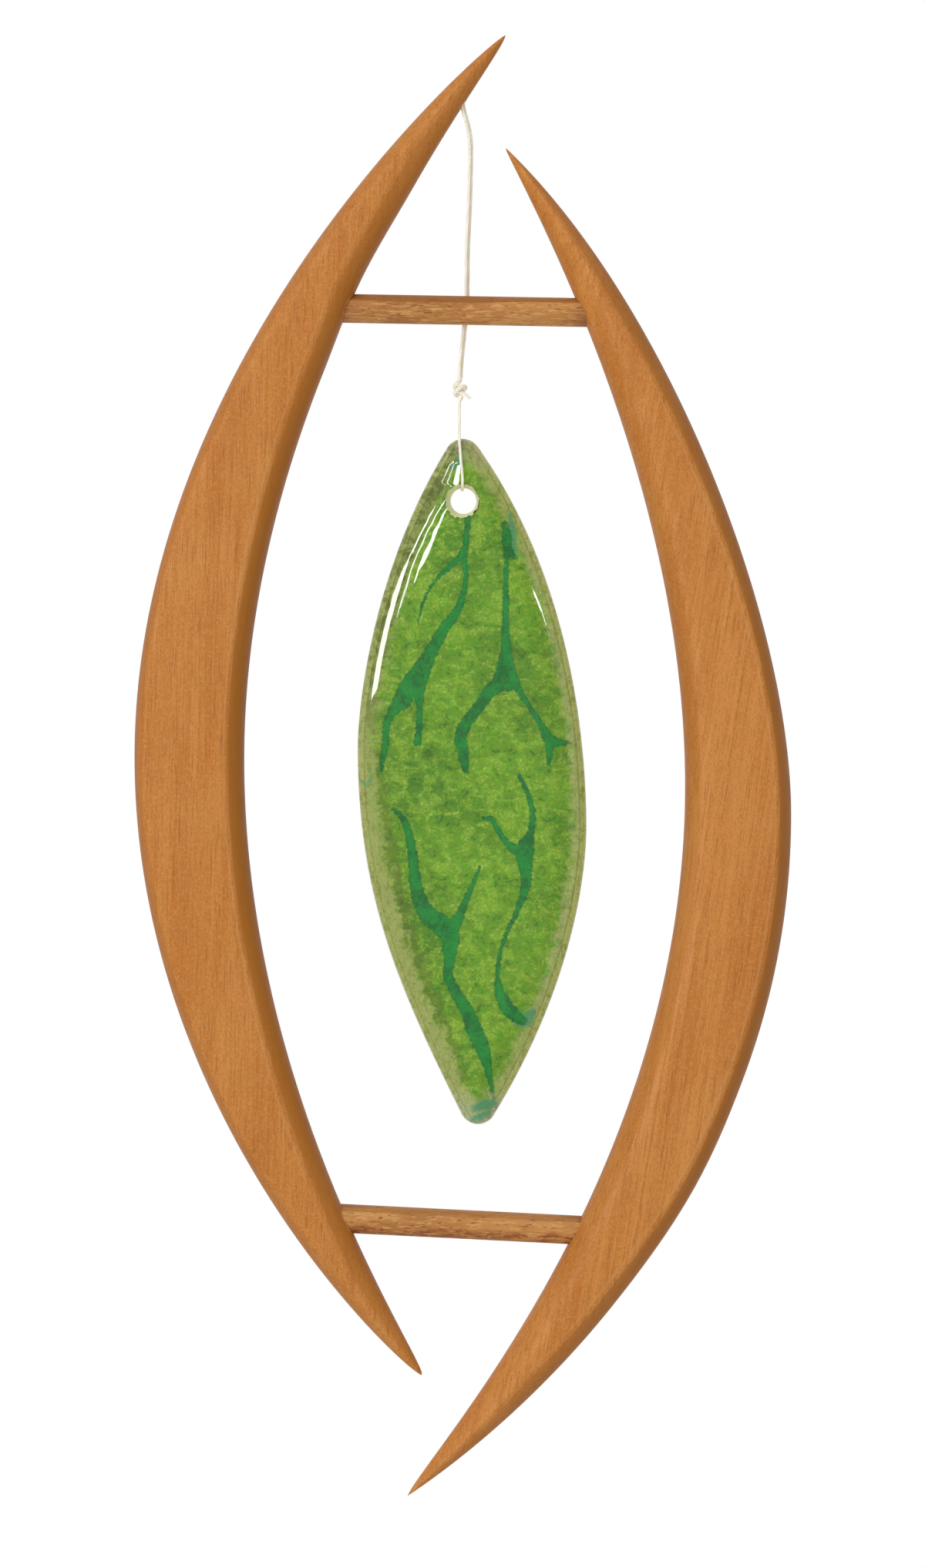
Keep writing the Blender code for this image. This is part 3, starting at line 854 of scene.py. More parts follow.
@dataclass
class Thread:
    """The doubled thread: two strands to the knot, the knot with its tail, and the loop through the glass.

    The routes are in metres. The knot's turns and its tail are millimetres from the knot's middle.
    """

    diameter: float = 0.0008
    strand_shift: tuple = (0.0003, 0.00046, 0.0)
    step: float = 0.00025
    sides: int = 16
    lay_length: float = 0.0060
    ply_depth: float = 0.01
    upper: tuple = (
        (0.0, 0.0, -0.002), (0.0, 0.0, -0.006), (0.0002, 0.0001, -0.0094), (0.0011, 0.0004, -0.013),
        (0.0018, 0.0008, -0.0156), (0.0022, 0.0012, -0.0181), (0.0024, 0.0018, -0.0218),
        (0.0022, 0.0028, -0.0314), (0.0019, 0.0036, -0.0399), (0.0015, 0.0044, -0.0484),
        (0.0014, 0.005, -0.057), (0.0013, 0.0052, -0.062), (0.001, 0.0052, -0.066),
        (0.0007, 0.0052, -0.07), (0.0003, 0.0051, -0.074), (-0.0003, 0.0049, -0.08),
        (-0.0005, 0.0048, -0.0843),
    )
    loop: tuple = (
        (-0.0007, 0.00425, -0.0907), (-0.0008, 0.0034, -0.094), (-0.0008, 0.0024, -0.0975),
        (-0.0008, 0.0013, -0.1012), (-0.0006, 0.0004, -0.1042), (-0.0004, 0.0, -0.107),
        (-0.0001, -0.0001, -0.11), (0.0001, -0.0001, -0.1126), (0.0001, 0.0004, -0.1144),
        (0.0001, 0.0018, -0.1153), (0.0001, 0.0048, -0.1154), (0.0, 0.0078, -0.1153),
        (0.0, 0.0092, -0.1144), (-0.0001, 0.0097, -0.1126), (-0.0002, 0.0097, -0.11),
        (-0.0004, 0.0096, -0.107), (-0.0006, 0.0092, -0.1042), (-0.0008, 0.0083, -0.1012),
        (-0.0008, 0.0072, -0.0975), (-0.0008, 0.0062, -0.094), (-0.0007, 0.00535, -0.0907),
    )
    knot_middle: tuple = (-0.0006, 0.0048, -0.0875)
    knot_diameter: float = 0.00125
    knot_turns: tuple = (
        (0.0, 0.0, 3.1), (-0.2, -0.3, 2.2), (-0.9, -0.7, 1.5), (-1.4, 0.0, 0.8), (-0.9, 0.8, 0.2),
        (0.2, 1.0, -0.3), (1.2, 0.5, 0.1), (1.4, -0.4, 0.6), (0.6, -1.1, 0.7), (-0.5, -1.1, 0.0),
        (-1.3, -0.5, -0.9), (-1.1, 0.4, -1.5), (-0.1, 0.6, -1.8), (0.3, 0.0, -2.2), (-0.1, 0.0, -3.0),
    )
    tail: tuple = ((0.2, 0.1, -0.4), (1.0, -0.2, -1.0), (1.9, -0.3, -1.7), (2.9, -0.3, -2.6))

    def tube(self, route: list[Vector], diameter: float) -> Shape:
        """A strand of two plies along a route.

        Args:
            route: The points of its middle line.
            diameter: How thick it is.

        Returns:
            The strand as a closed bmesh.
        """
        along = (route[1] - route[0]).normalized()
        side = along.orthogonal().normalized()
        rings = []
        travelled = 0.0
        for index, point in enumerate(route):
            before = route[max(0, index - 1)]
            after = route[min(len(route) - 1, index + 1)]
            ahead = (after - before).normalized()
            side = (along.rotation_difference(ahead) @ side).normalized()
            along = ahead
            across = along.cross(side)
            travelled += (point - before).length
            ring = Ring([], [])
            for number in range(self.sides):
                angle = math.tau * number / self.sides
                ply = math.cos(2 * (angle - math.pi * travelled / self.lay_length))
                radius = diameter / 2 * (1 + self.ply_depth * (ply - 1))
                ring.points.append(point + (side * math.cos(angle) + across * math.sin(angle)) * radius)
                ring.values.append(ply)
            rings.append(ring)
        return loft(rings, "ply")

    def strand(self, name: str, points: list[Vector], material: Material, *nodes: str) -> tuple:
        """A strand along a route's points.

        Args:
            name: The piece's name.
            points: The route's own points.
            material: Its finish.
            nodes: The CAD nodes that it replaces.

        Returns:
            The piece and the middle line that it follows.
        """
        route = smooth_route(points, self.step)
        piece = settle(name, self.tube(route, self.diameter), ROUND_SMOOTH, material)
        return dress(piece, Slot.THREAD, *nodes), route

    def knot(self, material: Material) -> Piece:
        """The knot: the doubled thread wound through itself, and its cut tail."""
        middle = Vector(self.knot_middle)
        whole = bmesh.new()
        for points, diameter in ((self.knot_turns, self.knot_diameter), (self.tail, self.diameter)):
            route = smooth_route([middle + Vector(point) * MM for point in points], self.step)
            part = self.tube(route, diameter)
            mesh = bpy.data.meshes.new("turn")
            part.to_mesh(mesh)
            part.free()
            whole.from_mesh(mesh)
            bpy.data.meshes.remove(mesh)
        return dress(settle("tied_knot", whole, ROUND_SMOOTH, material), Slot.THREAD, "thread_knot")

    def build(self) -> list[Piece]:
        """Makes the thread."""
        material = ThreadFinish("pale_cord").material()
        shift = Vector(self.strand_shift)
        upper = [Vector(point) for point in self.upper]
        front = [point - shift for point in upper]
        back = [point + shift for point in upper]
        loop = [Vector(point) for point in self.loop]
        cords = [
            self.strand("front_strand", front, material, "thread_strand_front"),
            self.strand("back_strand", back, material, "thread_strand_back"),
            self.strand("glass_loop", loop, material, "thread_loop"),
        ]
        knot = self.knot(material)
        return [piece for piece, route in cords] + [knot]


@dataclass(frozen=True)
class Swerve:
    """A shallow bend of an edge away from the ring's middle, as shares of the limb's height."""

    drop: float
    half_length: float
    outward: float


@dataclass(frozen=True)
class Edge:
    """One long edge of a limb. All but the belly's x are shares of the limb's height."""

    belly_x: float
    belly_drop: float
    rise: float
    fall: float
    top_lead: tuple
    bottom_lead: tuple
    swerve: Swerve = Swerve(0.0, 1.0, 0.0)


@dataclass
class Limb:
    """A bent wooden limb with two horn-like tips."""

    node: str
    name: str
    height: float
    top_tip: Vector
    bottom_shift: float
    outer: Edge
    inner: Edge
    belly_width: float
    finish: LimbFinish
    thickness: float = 0.018
    inner_band: float = 0.0054
    outer_band: float = 0.0028
    band_gain: float = 0.0015
    ridge_share: float = 0.56
    least_flat: float = 0.03
    full_width: float = 0.018
    taper_power: float = 1.7
    edge_power: float = 3.0
    tip_bluntness: float = 0.12
    arris_radius: float = 0.0012
    arris_share: float = 0.10
    # The edge value sets the painted shade on the rounded edges: it drops towards the arris, keeps a share
    # at the tips and is weighted on each side by how the lamps fall. Below 0 it is the paler arris line.
    arris_paling: tuple = (0.0, -0.1, -0.3, 0.1)
    shade_drop: float = 0.5
    tip_shade_share: float = 0.35
    outer_shade: float = 0.55
    inner_shade: float = 1.0
    stations: int = 110
    crowding: float = 1.35
    edge_steps: int = 14
    curve_steps: int = 400

    @property
    def bottom_tip(self) -> Vector:
        """The lower end of the limb."""
        return self.top_tip + self.height * Vector((self.bottom_shift, 0.0, -1.0))

    def half(self, edge: Edge, tip: Vector, lead: tuple, run: float) -> list[Vector]:
        """One edge from a tip to its belly.

        Args:
            edge: The edge.
            tip: The tip that it leaves.
            lead: The lead that it leaves by.
            run: How far it runs straight at its belly, up if positive.

        Returns:
            Stations that crowd towards the tip.
        """
        belly = Vector((edge.belly_x, 0.0, self.top_tip.z - edge.belly_drop * self.height))
        lead_out = tip + flat(lead) * self.height
        lead_in = belly + Vector((0, 0, run * self.height))
        steps = range(self.curve_steps + 1)
        fine = [cubic(tip, lead_out, lead_in, belly, step / self.curve_steps) for step in steps]
        return by_length(fine, self.stations, self.crowding)

    def edge_line(self, edge: Edge) -> list[Vector]:
        """Stations down a whole edge, from the top tip to the bottom tip."""
        upper = self.half(edge, self.top_tip, edge.top_lead, edge.rise)
        lower = self.half(edge, self.bottom_tip, edge.bottom_lead, -edge.fall)
        upper[0] = upper[0].lerp(upper[1], self.tip_bluntness)
        lower[0] = lower[0].lerp(lower[1], self.tip_bluntness)
        line = upper + lower[-2::-1]
        side = math.copysign(1.0, edge.belly_x)
        swerve = edge.swerve
        for point in line:
            drop = (self.top_tip.z - point.z) / self.height
            offset = min(1.0, abs(drop - swerve.drop) / swerve.half_length)
            point.x += side * swerve.outward * self.height * math.cos(offset * math.pi / 2) ** 2
        return line

    def profile(self, band: float, half: float, softening: float) -> list[tuple[float, float, float]]:
        """The rounded edge from its arris on the front to the one on the back.

        Args:
            band: How far in from the edge the arris lies.
            half: Half the limb's thickness there.
            softening: How far each arris is eased to either side.

        Returns:
            Depth in from the edge, y, and a value: 1 at the edge, less towards the arris, below 0 on it.
        """
        reach = 1 - self.arris_share
        first = []
        for step, paling in enumerate(self.arris_paling):
            share = step / len(self.arris_paling)
            start = Vector((band + softening, 1.0))
            corner = Vector((band, 1.0))
            end = Vector((band * reach**self.edge_power, reach))
            point = start * (1 - share) ** 2 + corner * (2 * share * (1 - share)) + end * share**2
            first.append((point.x, point.y * half, paling))
        middle = []
        for step in range(self.edge_steps + 1):
            share = reach * math.cos(math.pi * step / self.edge_steps)
            nearness = 1 - self.shade_drop * abs(share) ** 2
            middle.append((band * abs(share) ** self.edge_power, share * half, nearness))
        last = [(depth, -y, value) for depth, y, value in reversed(first)]
        return first + middle + last

    def section(self, outer: Vector, inner: Vector) -> Ring:
        """The ring of points round the limb between its edges.

        Args:
            outer: Its outer edge there.
            inner: Its inner edge there.

        Returns:
            The ring, each point with how near it is to an edge, which sets its painted shade.
        """
        across = inner - outer
        width = across.length
        taper = 1.0 - max(0.0, 1.0 - width / self.full_width) ** self.taper_power
        half = self.thickness / 2 * taper
        fullness = min(1.0, width / self.belly_width)
        gain = self.band_gain * (1.0 - fullness)
        inner_band = min(self.inner_band + gain, self.ridge_share * width)
        outer_band = min(self.outer_band + gain, (1.0 - self.ridge_share - self.least_flat) * width)
        softening = min(self.arris_radius + gain, (width - inner_band - outer_band) / 3)
        direction = across.normalized()
        ring = Ring([], [])
        fade = self.tip_shade_share + (1 - self.tip_shade_share) * fullness
        for depth, y, value in self.profile(outer_band, half, softening):
            ring.points.append(outer + direction * depth - Vector((0, y, 0)))
            ring.values.append(value * self.outer_shade * fade)
        for depth, y, value in self.profile(inner_band, half, softening):
            ring.points.append(inner - direction * depth + Vector((0, y, 0)))
            ring.values.append(value * self.inner_shade * fade)
        return ring

    def build(self, cutters: list[Piece]) -> Piece:
        """Makes the limb.

        Args:
            cutters: The bores and holes to cut, which are removed.

        Returns:
            The piece.
        """
        outer = self.edge_line(self.outer)
        inner = self.edge_line(self.inner)
        rings = [self.section(a, b) for a, b in zip(outer, inner)]
        piece = settle(self.name, loft(rings, "edge"), WOOD_SMOOTH, self.finish.material())
        carve(piece, cutters, WOOD_SMOOTH)
        return dress(piece, Slot.LIMB, self.node)


LEFT_LIMB = Limb(
    node="left_limb",
    name="left_horned_limb",
    height=0.3709,
    top_tip=Vector((0.0120, 0.0, 0.0102)),
    bottom_shift=-0.0631,
    outer=Edge(-0.0906, 0.5390, 0.3087, 0.2691, (-0.0051, 0.0013), (-0.0167, 0.0078)),
    inner=Edge(
        -0.0603, 0.5408, 0.2928, 0.2615, (-0.0013, -0.0189), (0.0127, -0.0022),
        Swerve(0.1825, 0.0701, 0.0024),
    ),
    belly_width=0.0303,
    finish=LimbFinish("left_cherry"),
)
RIGHT_LIMB = Limb(
    node="right_limb",
    name="right_horned_limb",
    height=0.3731,
    top_tip=Vector((0.0122, 0.0, -0.0211)),
    bottom_shift=-0.0732,
    outer=Edge(
        0.0910, 0.4945, 0.1434, 0.3042, (0.1206, -0.1158), (0.0426, 0.0281),
        Swerve(0.7743, 0.0858, 0.0016),
    ),
    inner=Edge(0.0617, 0.4728, 0.2495, 0.2938, (-0.0086, 0.0054), (0.0094, 0.0263)),
    belly_width=0.0293,
    outer_band=0.0046,
    arris_radius=0.0022,
    # Its edge colour is the painted shade on its rounded edges.
    finish=LimbFinish("right_cherry", face=paint(202, 134, 66), edge=paint(160, 98, 32), slant=9.0),
    # The painted edge shade is full on the outer edge and lighter on the inner edge, which faces the lamps
    # on the left.
    outer_shade=1.0,
    inner_shade=0.42,
)


@dataclass
class Dowel:
    """A turned dowel between the middles of its two ends."""

    node: str
    name: str
    left: Vector
    right: Vector
    diameter: float = 0.008
    chamfer: float = 0.0004
    # How strongly the top is painted darker as shade.
    top_shade: float = 0.85
    foot: float = 0.0
    bore_gap: float = 0.00012
    sides: int = 72
    steps: int = 40
    stain_length: float = 0.013

    def placed_rod(self, radius: float, overrun: float) -> Shape:
        """A rod on the dowel's middle line.

        Args:
            radius: Its radius.
            overrun: How far it goes past each end.

        Returns:
            The rod as a closed bmesh.
        """
        along = self.right - self.left
        bm = rod(radius, along.length + 2 * overrun, self.sides)
        turn = along.to_track_quat("Z", "Y").to_matrix().to_4x4()
        bm.transform(Matrix.Translation((self.left + self.right) / 2) @ turn)
        return bm

    def cutter(self) -> Piece:
        """The body that bores a limb for this dowel."""
        bore = self.placed_rod(self.diameter / 2 + self.bore_gap, self.bore_gap)
        return settle(self.name + "_bore", bore, WOOD_SMOOTH)

    def build(self) -> Piece:
        """Makes the dowel."""
        bm = self.placed_rod(self.diameter / 2, 0.0)
        middle = (self.left + self.right) / 2
        along = (self.right - self.left).normalized()
        half = (self.right - self.left).length / 2
        sides = [edge for edge in bm.edges if abs((edge.verts[0].co - edge.verts[1].co).dot(along)) > half]
        bmesh.ops.subdivide_edges(bm, edges=sides, cuts=self.steps, use_grid_fill=True)
        ends = [
            edge
            for edge in bm.edges
            if all(abs((vert.co - middle).dot(along)) > half - self.chamfer / 4 for vert in edge.verts)
        ]
        bmesh.ops.bevel(
            bm, geom=ends, offset=self.chamfer, segments=3, profile=0.5, affect="EDGES", material=-1
        )
        end = bm.verts.layers.float.new("end")
        height = bm.verts.layers.float.new("height")
        upward = along.cross(Vector((0, 1, 0)))
        upward *= math.copysign(1.0, upward.z)
        for vert in bm.verts:
            inward = half - abs((vert.co - middle).dot(along))
            vert[end] = max(0.0, 1.0 - inward / self.stain_length)
            vert[height] = (vert.co - middle).dot(upward) * 2 / self.diameter
        bmesh.ops.recalc_face_normals(bm, faces=bm.faces)
        finish = DowelFinish(self.name + "_beech", self.top_shade, self.foot)
        return dress(settle(self.name, bm, WOOD_SMOOTH, finish.material()), Slot.DOWEL, self.node)


TOP_DOWEL = Dowel(
    "top_dowel", "top_beech_dowel", Vector((-0.03948, 0, -0.06531)), Vector((0.04092, 0, -0.06671))
)
BOTTOM_DOWEL = Dowel(
    "bottom_dowel",
    "bottom_beech_dowel",
    Vector((-0.03986, 0, -0.31701)),
    Vector((0.03922, 0, -0.32096)),
    top_shade=0.5,
    foot=0.9,
)


@dataclass
class ThreadHole:
    """The upright hole through the left limb's top tip."""

    diameter: float = 0.0026
    length: float = 0.03
    middle_z: float = -0.011
    sides: int = 32

    def cutter(self) -> Piece:
        """The body that drills the hole."""
        bm = rod(self.diameter / 2, self.length, self.sides)
        bmesh.ops.translate(bm, vec=(0, 0, self.middle_z), verts=bm.verts)
        return settle("thread_hole", bm, WOOD_SMOOTH)


@dataclass(frozen=True)
class LeafSide:
    """One side of the leaf's outline: its belly, and how it runs there from the top and from the bottom.

    Each run is the turn of the tip's arc in degrees, and the leads out of the arc and into the belly.
    All but belly_x and the turns are shares of the leaf's height.
    """

    belly_x: float
    belly_drop: float
    top: tuple
    bottom: tuple


@dataclass(frozen=True)
class Vein:
    """A band of deep green in the glass: x, z and width in millimetres at each point of its middle line."""

    points: tuple


VEINS = (
    Vein((
        (1.6, -123.6, 1.7), (1.0, -130.2, 1.7), (0.3, -134.1, 2.6), (1.0, -138.3, 1.5),
        (0.3, -144.7, 1.7), (-1.4, -149.0, 2.3), (-4.6, -153.5, 3.0), (-7.8, -159.0, 3.6),
        (-10.8, -164.8, 4.9), (-14.0, -170.3, 6.8), (-16.8, -174.1, 5.0), (-19.6, -177.5, 2.6),
        (-20.9, -180.5, 2.2), (-21.3, -186.5, 2.0), (-22.0, -190.5, 1.6), (-22.3, -193.5, 0.6),
    )),
    Vein(((-7.1, -140.3, 1.1), (-9.4, -143.6, 0.9), (-11.4, -148.6, 0.7), (-12.4, -153.0, 0.4))),
    Vein((
        (-12.5, -169.5, 5.0), (-12.0, -172.8, 3.0), (-11.8, -176.5, 1.9), (-12.0, -182.0, 2.0),
        (-12.5, -185.4, 2.4),
    )),
    Vein(((0.3, -133.6, 2.0), (-3.9, -137.3, 1.6), (-7.1, -140.3, 1.2))),
    Vein((
        (11.8, -125.3, 2.1), (12.5, -130.7, 2.8), (12.3, -135.4, 1.5), (12.1, -141.5, 1.7),
        (12.1, -148.4, 1.9), (12.1, -154.8, 2.3), (12.1, -161.0, 3.4), (12.3, -167.8, 6.4),
        (14.2, -169.4, 3.8), (15.5, -171.0, 2.1), (18.5, -175.5, 1.6), (21.7, -180.4, 1.9),
        (24.2, -184.9, 3.4), (27.0, -185.7, 2.1), (30.0, -185.7, 0.8),
    )),
    Vein(((12.1, -130.2, 2.6), (13.8, -133.7, 1.7), (14.8, -134.5, 0.8))),
    Vein((
        (12.2, -167.0, 6.2), (10.2, -169.4, 4.4), (7.4, -171.8, 3.5), (4.8, -175.5, 3.4),
        (1.0, -180.4, 3.4), (-0.3, -184.2, 3.6), (0.3, -189.1, 3.0), (1.0, -193.4, 1.9),
    )),
    Vein(((24.0, -184.4, 3.0), (24.2, -188.1, 2.1), (24.0, -191.9, 0.9))),
    Vein((
        (-18.9, -204.1, 1.2), (-15.7, -207.9, 1.9), (-14.0, -214.5, 2.6), (-13.3, -221.1, 3.0),
        (-12.3, -227.5, 3.8), (-9.5, -233.3, 5.0), (-5.4, -236.5, 6.0), (-3.3, -239.3, 5.4),
        (-3.4, -243.5, 4.0), (-3.6, -247.1, 3.0), (-3.9, -250.3, 2.8), (-1.6, -255.3, 3.2),
        (1.4, -260.2, 3.8), (3.2, -264.9, 4.4), (5.4, -269.7, 4.2), (6.6, -273.4, 3.0),
        (7.4, -277.4, 2.0), (8.1, -281.0, 1.3), (8.5, -284.1, 1.0),
    )),
    Vein((
        (-3.3, -237.3, 5.1), (-0.9, -233.9, 3.0), (0.8, -230.1, 2.1), (3.1, -224.3, 1.4),
        (4.8, -220.3, 1.1),
    )),
    Vein((
        (15.7, -194.5, 1.1), (18.2, -199.8, 1.5), (19.5, -204.7, 1.7), (19.1, -210.5, 2.1),
        (17.4, -215.4, 5.1), (17.6, -220.3, 3.8), (17.6, -225.4, 2.8), (15.3, -232.1, 1.7),
        (12.5, -238.0, 1.2), (10.5, -244.0, 1.3), (9.8, -250.3, 1.5), (10.2, -254.1, 2.4),
        (11.6, -257.6, 3.6), (13.9, -260.6, 3.8), (16.6, -262.8, 2.6),
    )),
    Vein((
        (5.7, -206.6, 1.1), (8.2, -207.0, 1.5), (10.3, -210.5, 1.5), (12.9, -213.9, 2.1),
        (15.9, -216.0, 3.4),
    )),
)
SMUDGES = (
    Vein(((3.6, -287.0, 1.8), (6.0, -286.0, 3.0), (8.4, -285.4, 2.0))),
    Vein(((3.2, -289.8, 1.4), (5.4, -289.0, 1.8), (7.0, -288.0, 1.4))),
    # Painted shade: this teal patch beside the thread above the hole stands for the thread's shade seen
    # through the glass.
    Vein(((-3.2, -109.6, 0.8), (-1.2, -108.6, 1.6), (-0.8, -106.6, 0.8))),
    Vein(((13.0, -122.5, 0.8), (13.8, -127.0, 1.8), (14.4, -131.0, 1.6), (15.0, -134.4, 0.8))),
    Vein(((-27.2, -196.2, 0.5), (-26.4, -197.6, 0.6), (-25.2, -195.4, 0.5), (-25.2, -193.0, 0.4))),
    Vein(((13.9, -260.6, 3.6), (17.0, -262.6, 4.0), (19.4, -260.2, 2.0))),
)


@dataclass(frozen=True)
class Grid:
    """How finely a layer of the leaf is meshed."""

    stations: int
    crowding: float
    front: int
    back: int
    even: float

    def shares(self, count: int) -> list[float]:
        """Places across the leaf from 0 to 1, closer together at its sides unless they are even."""
        steps = [number / count for number in range(count + 1)]
        bunched = [0.5 - 0.5 * math.cos(math.pi * step) for step in steps]
        return [self.even * step + (1 - self.even) * near for step, near in zip(steps, bunched)]


@dataclass
class GlassLeaf:
    """The fused glass leaf: clear glass round a layer of green frit with deep green veins on it."""

    height: float = 0.1902
    thickness: float = 0.008
    plane_y: float = 0.0048
    top: Vector = Vector((0.0002, 0.0048, -0.1013))
    lean: float = 0.0221
    tip_radius: float = 0.0051
    band_share: float = 0.49
    full_width: float = 0.016
    left: LeafSide = LeafSide(-0.0290, 0.4506, (58.5, 0.2024, 0.0683), (63.5, 0.2145, 0.2119))
    right: LeafSide = LeafSide(0.0345, 0.5662, (54.5, 0.2461, 0.1041), (58.5, 0.2261, 0.0631))
    hole_diameter: float = 0.0087
    hole_drop: float = 0.0174
    hole_shift: float = -0.0003
    chip_reach: float = 0.00075
    pillow: float = 0.011
    pillow_power: float = 2.5
    frit_power: float = 1.35
    body_grid: Grid = Grid(190, 1.5, 110, 40, 0.0)
    frit_grid: Grid = Grid(210, 1.2, 160, 24, 0.5)
    clear_over_frit: float = 0.0007
    rim: float = 0.0006
    back_radius: float = 0.0035
    back_shift: Vector = Vector((0.00055, 0.0, 0.00035))
    drill_sides: int = 96
    drill_overrun: float = 0.002
    chip_mean: float = 0.45
    chip_swing: float = 0.75
    chip_least: float = 0.1
    chip_pattern: tuple = (6.5, 900.0)
    frit_chip: float = 0.0001
    least_frit: float = 0.003
    curve_steps: int = 300
    vein_step: float = 0.0003
    neighbours: int = 12
    no_vein: float = -9.0

    @property
    def bottom(self) -> Vector:
        """The leaf's lower tip."""
        return self.top + self.height * Vector((self.lean, 0.0, -1.0))

    @property
    def hole(self) -> Vector:
        """The middle of the drilled hole."""
        return self.top + Vector((self.hole_shift, 0.0, -self.hole_drop))

    def half_side(self, side: LeafSide, tip: Vector, upward: int, grid: Grid) -> list[Vector]:
        """The outline from a tip round its arc and on to the belly.

        Args:
            side: The side of the leaf.
            tip: The tip that it leaves.
            upward: 1 at the top tip and -1 at the bottom one.
            grid: How finely it is meshed.

        Returns:
            Stations that crowd towards the tip.
        """
        steps = self.curve_steps
        degrees, run, lead = side.top if upward > 0 else side.bottom
        turn = math.radians(degrees)
        sign = math.copysign(1.0, side.belly_x)
        centre = Vector((tip.x, 0, tip.z - upward * self.tip_radius))
        arc = []
        for step in range(steps + 1):
            angle = turn * step / steps
            arc.append(centre + self.tip_radius * flat((sign * math.sin(angle), upward * math.cos(angle))))
        lead_out = arc[-1] + run * self.height * flat((sign * math.cos(turn), -upward * math.sin(turn)))
        belly = Vector((side.belly_x, 0, self.top.z - side.belly_drop * self.height))
        lead_in = belly + Vector((0, 0, upward * lead * self.height))
        curve = [cubic(arc[-1], lead_out, lead_in, belly, step / steps) for step in range(1, steps + 1)]
        return by_length(arc + curve, grid.stations, grid.crowding)

    def outline(self, side: LeafSide, grid: Grid) -> list[Vector]:
        """Stations down one side, from the top tip to the bottom tip."""
        upper = self.half_side(side, self.top, 1, grid)
        lower = self.half_side(side, self.bottom, -1, grid)
        return upper + lower[-2::-1]

    def section(self, sides: tuple, thickness: float, rounding: float, fullness: float, grid: Grid) -> Ring:
        """A ring round the glass between its sides: flat faces and pillowed edges.

        Args:
            sides: The left and the right side there.
            thickness: How thick the layer is.
            rounding: How far in its edges are rounded.
            fullness: 2 for an elliptic rounding, more for a fuller one.
            grid: How finely it is meshed.

        Returns:
            The ring, each point with its way in from the side in millimetres.
        """
        across = sides[1] - sides[0]
        width = across.length
        thinning = 1.0 - min(1.0, width / self.full_width)
        half = thickness / 2 * math.sqrt(max(0.0, 1.0 - thinning**2))
        band = min(rounding, self.band_share * width)
        front = [(share, -1) for share in grid.shares(grid.front)]
        back = [(share, 1) for share in grid.shares(grid.back)[-2:0:-1]]
        ring = Ring([], [])
        for share, facing in front + back:
            depth = min(share, 1.0 - share) * width
            lift = (1.0 - (1.0 - min(1.0, depth / band)) ** fullness) ** (1 / fullness)
            y = self.plane_y + facing * half * lift
            ring.points.append(sides[0] + across * share + Vector((0, y, 0)))
            ring.values.append(depth / MM)
        return ring

    def inset(self, line: list[Vector], sign: int) -> list[Vector]:
        """A side's line moved in by the clear rim.

        Args:
            line: The side's stations.
            sign: 1 for the left side and -1 for the right.

        Returns:
            The moved stations.
        """
        moved = []
        for index, point in enumerate(line):
            ahead = line[min(len(line) - 1, index + 1)] - line[max(0, index - 1)]
            inward = Vector((-ahead.z, 0, ahead.x)).normalized() * sign
            moved.append(point + inward * self.rim)
        return moved

    def drill(self, spare: float, chips: float, material: Material) -> Piece:
        """The body that drills the hole. It leans and narrows to the back, and its mouths are chipped.

        Args:
            spare: How much wider the cut is than the hole.
            chips: How far the chips reach at most.
            material: What lines the hole.

        Returns:
            The cutter.
        """
        sides = self.drill_sides
        radius = self.hole_diameter / 2
        face = self.thickness / 2
        far = face + self.drill_overrun
        stops = (-far, -face, -face + chips, face - chips, face, far)
        flares = (1.0, 1.0, 0.0, 0.0, 1.0, 1.0)
        rings = []
        for stop, flare in zip(stops, flares):
            ring = Ring([], [0.0] * sides)
            back = min(1.0, max(0.0, (stop + face) / (2 * face)))
            middle = self.hole + self.back_shift * back
            size = radius + (self.back_radius - radius) * back + spare
            for number in range(sides):
                angle = math.tau * number / sides
                way = Vector((math.cos(angle), 0, math.sin(angle)))
                where = way * self.chip_pattern[0] + Vector((0, stop * self.chip_pattern[1], 0))
                ragged = self.chip_mean + self.chip_swing * noise.noise(where)
                reach = size + flare * chips * max(self.chip_least, ragged)
                ring.points.append(middle + way * reach + Vector((0, stop, 0)))
            rings.append(ring)
        return settle("drill", loft(rings, "inward"), TOOL_SMOOTH, material)

    def body(self) -> Piece:
        """The clear glass, pillowed all round and drilled."""
        grid = self.body_grid
        sides = zip(self.outline(self.left, grid)[1:-1], self.outline(self.right, grid)[1:-1])
        rings = [self.section(pair, self.thickness, self.pillow, self.pillow_power, grid) for pair in sides]
        clear = ClearGlass("clear_olive_glass").material()
        ground = ClearGlass(
            "ground_olive_glass", roughness=0.5, tint=paint(240, 244, 176), clarity=0.2, ripple=0.0003
        ).material()
        piece = settle("clear_glass_leaf", loft(rings, "inward"), ROUND_SMOOTH, clear, ground)
        carve(piece, [self.drill(0.0, self.chip_reach, ground)], DRILLED_SMOOTH)
        return dress(piece, Slot.GLASS, "glass_leaf")

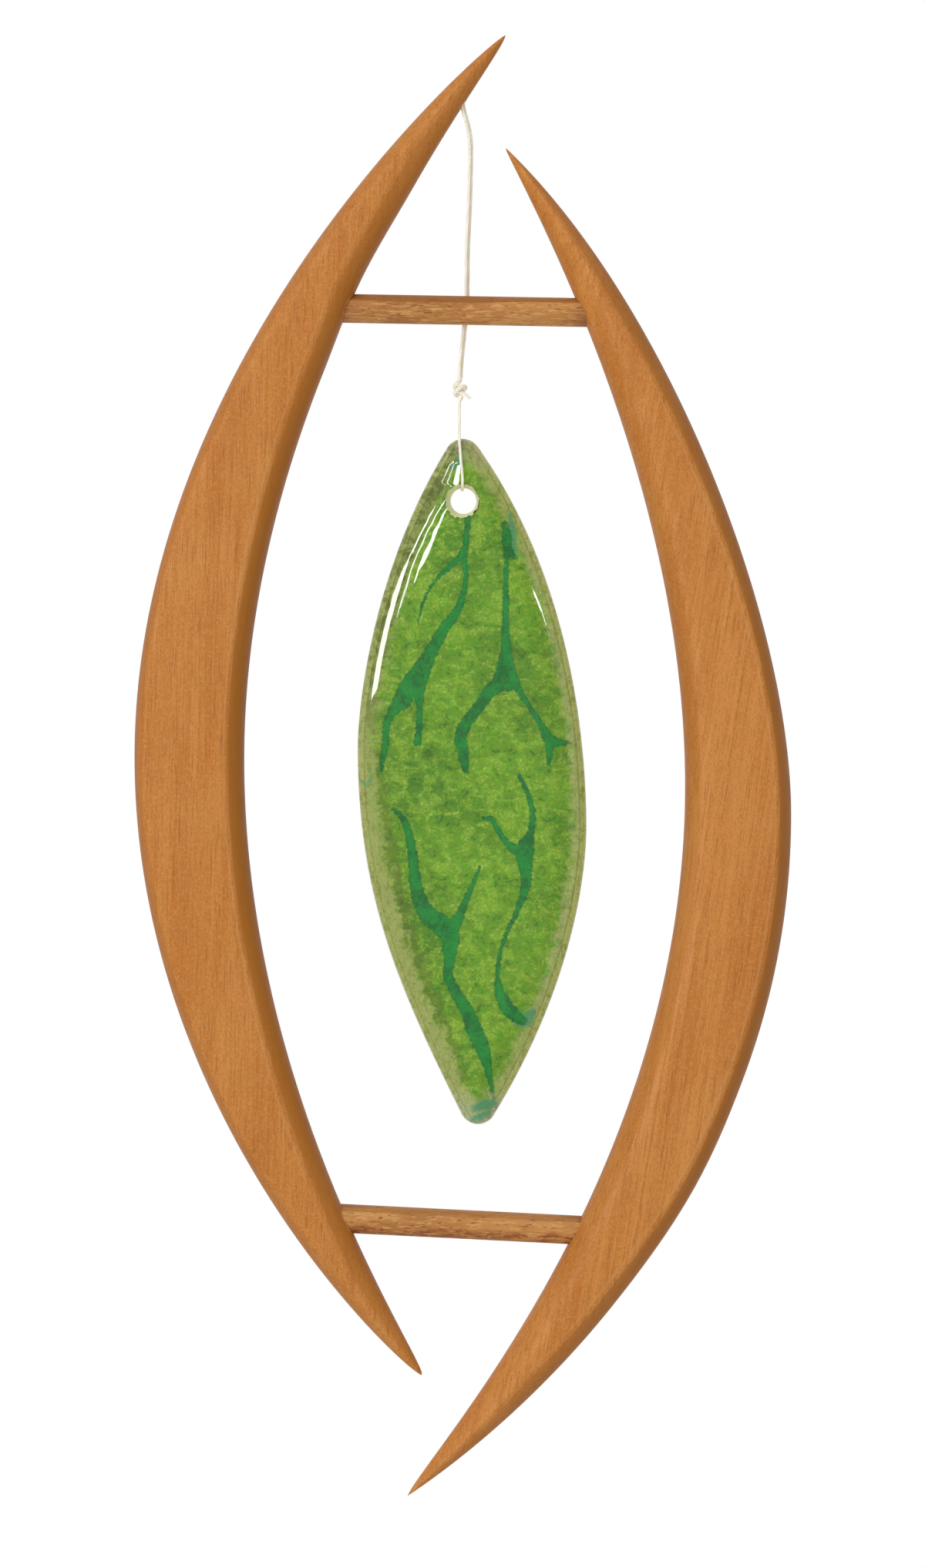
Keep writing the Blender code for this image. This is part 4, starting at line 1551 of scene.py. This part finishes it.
    def stain(self, bm: Shape, layer: str, veins: tuple) -> None:
        """Writes down how far inside the nearest band each point of the front lies, in millimetres.

        Args:
            bm: The layer's shape.
            layer: The attribute that holds the depth.
            veins: The bands.
        """
        middles = []
        for vein in veins:
            middles += smooth_route([Vector(point) * MM for point in vein.points], self.vein_step)
        tree = KDTree(len(middles))
        for index, middle in enumerate(middles):
            tree.insert((middle.x, 0.0, middle.y), index)
        tree.balance()
        held = bm.verts.layers.float.new(layer)
        for vert in bm.verts:
            near = tree.find_n((vert.co.x, 0.0, vert.co.z), self.neighbours)
            depth = max(middles[index].z / 2 - away for _, index, away in near) / MM
            vert[held] = depth if vert.co.y < self.plane_y else self.no_vein

    def core(self, material: Material) -> Piece:
        """The layer of green frit sealed in the clear glass."""
        grid = self.frit_grid
        left = self.inset(self.outline(self.left, grid), 1)
        right = self.inset(self.outline(self.right, grid), -1)
        thickness = self.thickness - 2 * self.clear_over_frit
        rings = []
        for pair in zip(left, right):
            if pair[1].x - pair[0].x > self.least_frit:
                rings.append(self.section(pair, thickness, self.pillow - self.rim, self.frit_power, grid))
        bm = loft(rings, "inward")
        self.stain(bm, "vein", VEINS)
        self.stain(bm, "smudge", SMUDGES)
        piece = settle("green_frit_layer", bm, ROUND_SMOOTH, material)
        carve(piece, [self.drill(self.rim, self.frit_chip, material)], DRILLED_SMOOTH)
        return dress(piece, Slot.GLASS)

    def build(self) -> list[Piece]:
        """Makes the leaf and what is sealed in it."""
        return [self.body(), self.core(Frit("green_frit").material())]


def main() -> None:
    """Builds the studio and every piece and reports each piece."""
    logging.basicConfig(level=logging.INFO, format="%(name)s %(message)s")
    Studio().build()
    pieces = Thread().build()
    pieces += [TOP_DOWEL.build(), BOTTOM_DOWEL.build()]
    pieces.append(LEFT_LIMB.build([TOP_DOWEL.cutter(), BOTTOM_DOWEL.cutter(), ThreadHole().cutter()]))
    pieces.append(RIGHT_LIMB.build([TOP_DOWEL.cutter(), BOTTOM_DOWEL.cutter()]))
    pieces += GlassLeaf().build()
    for piece in pieces:
        log.info("%s: %d faces", piece.name, len(piece.data.polygons))


if __name__ == "__main__":
    main()
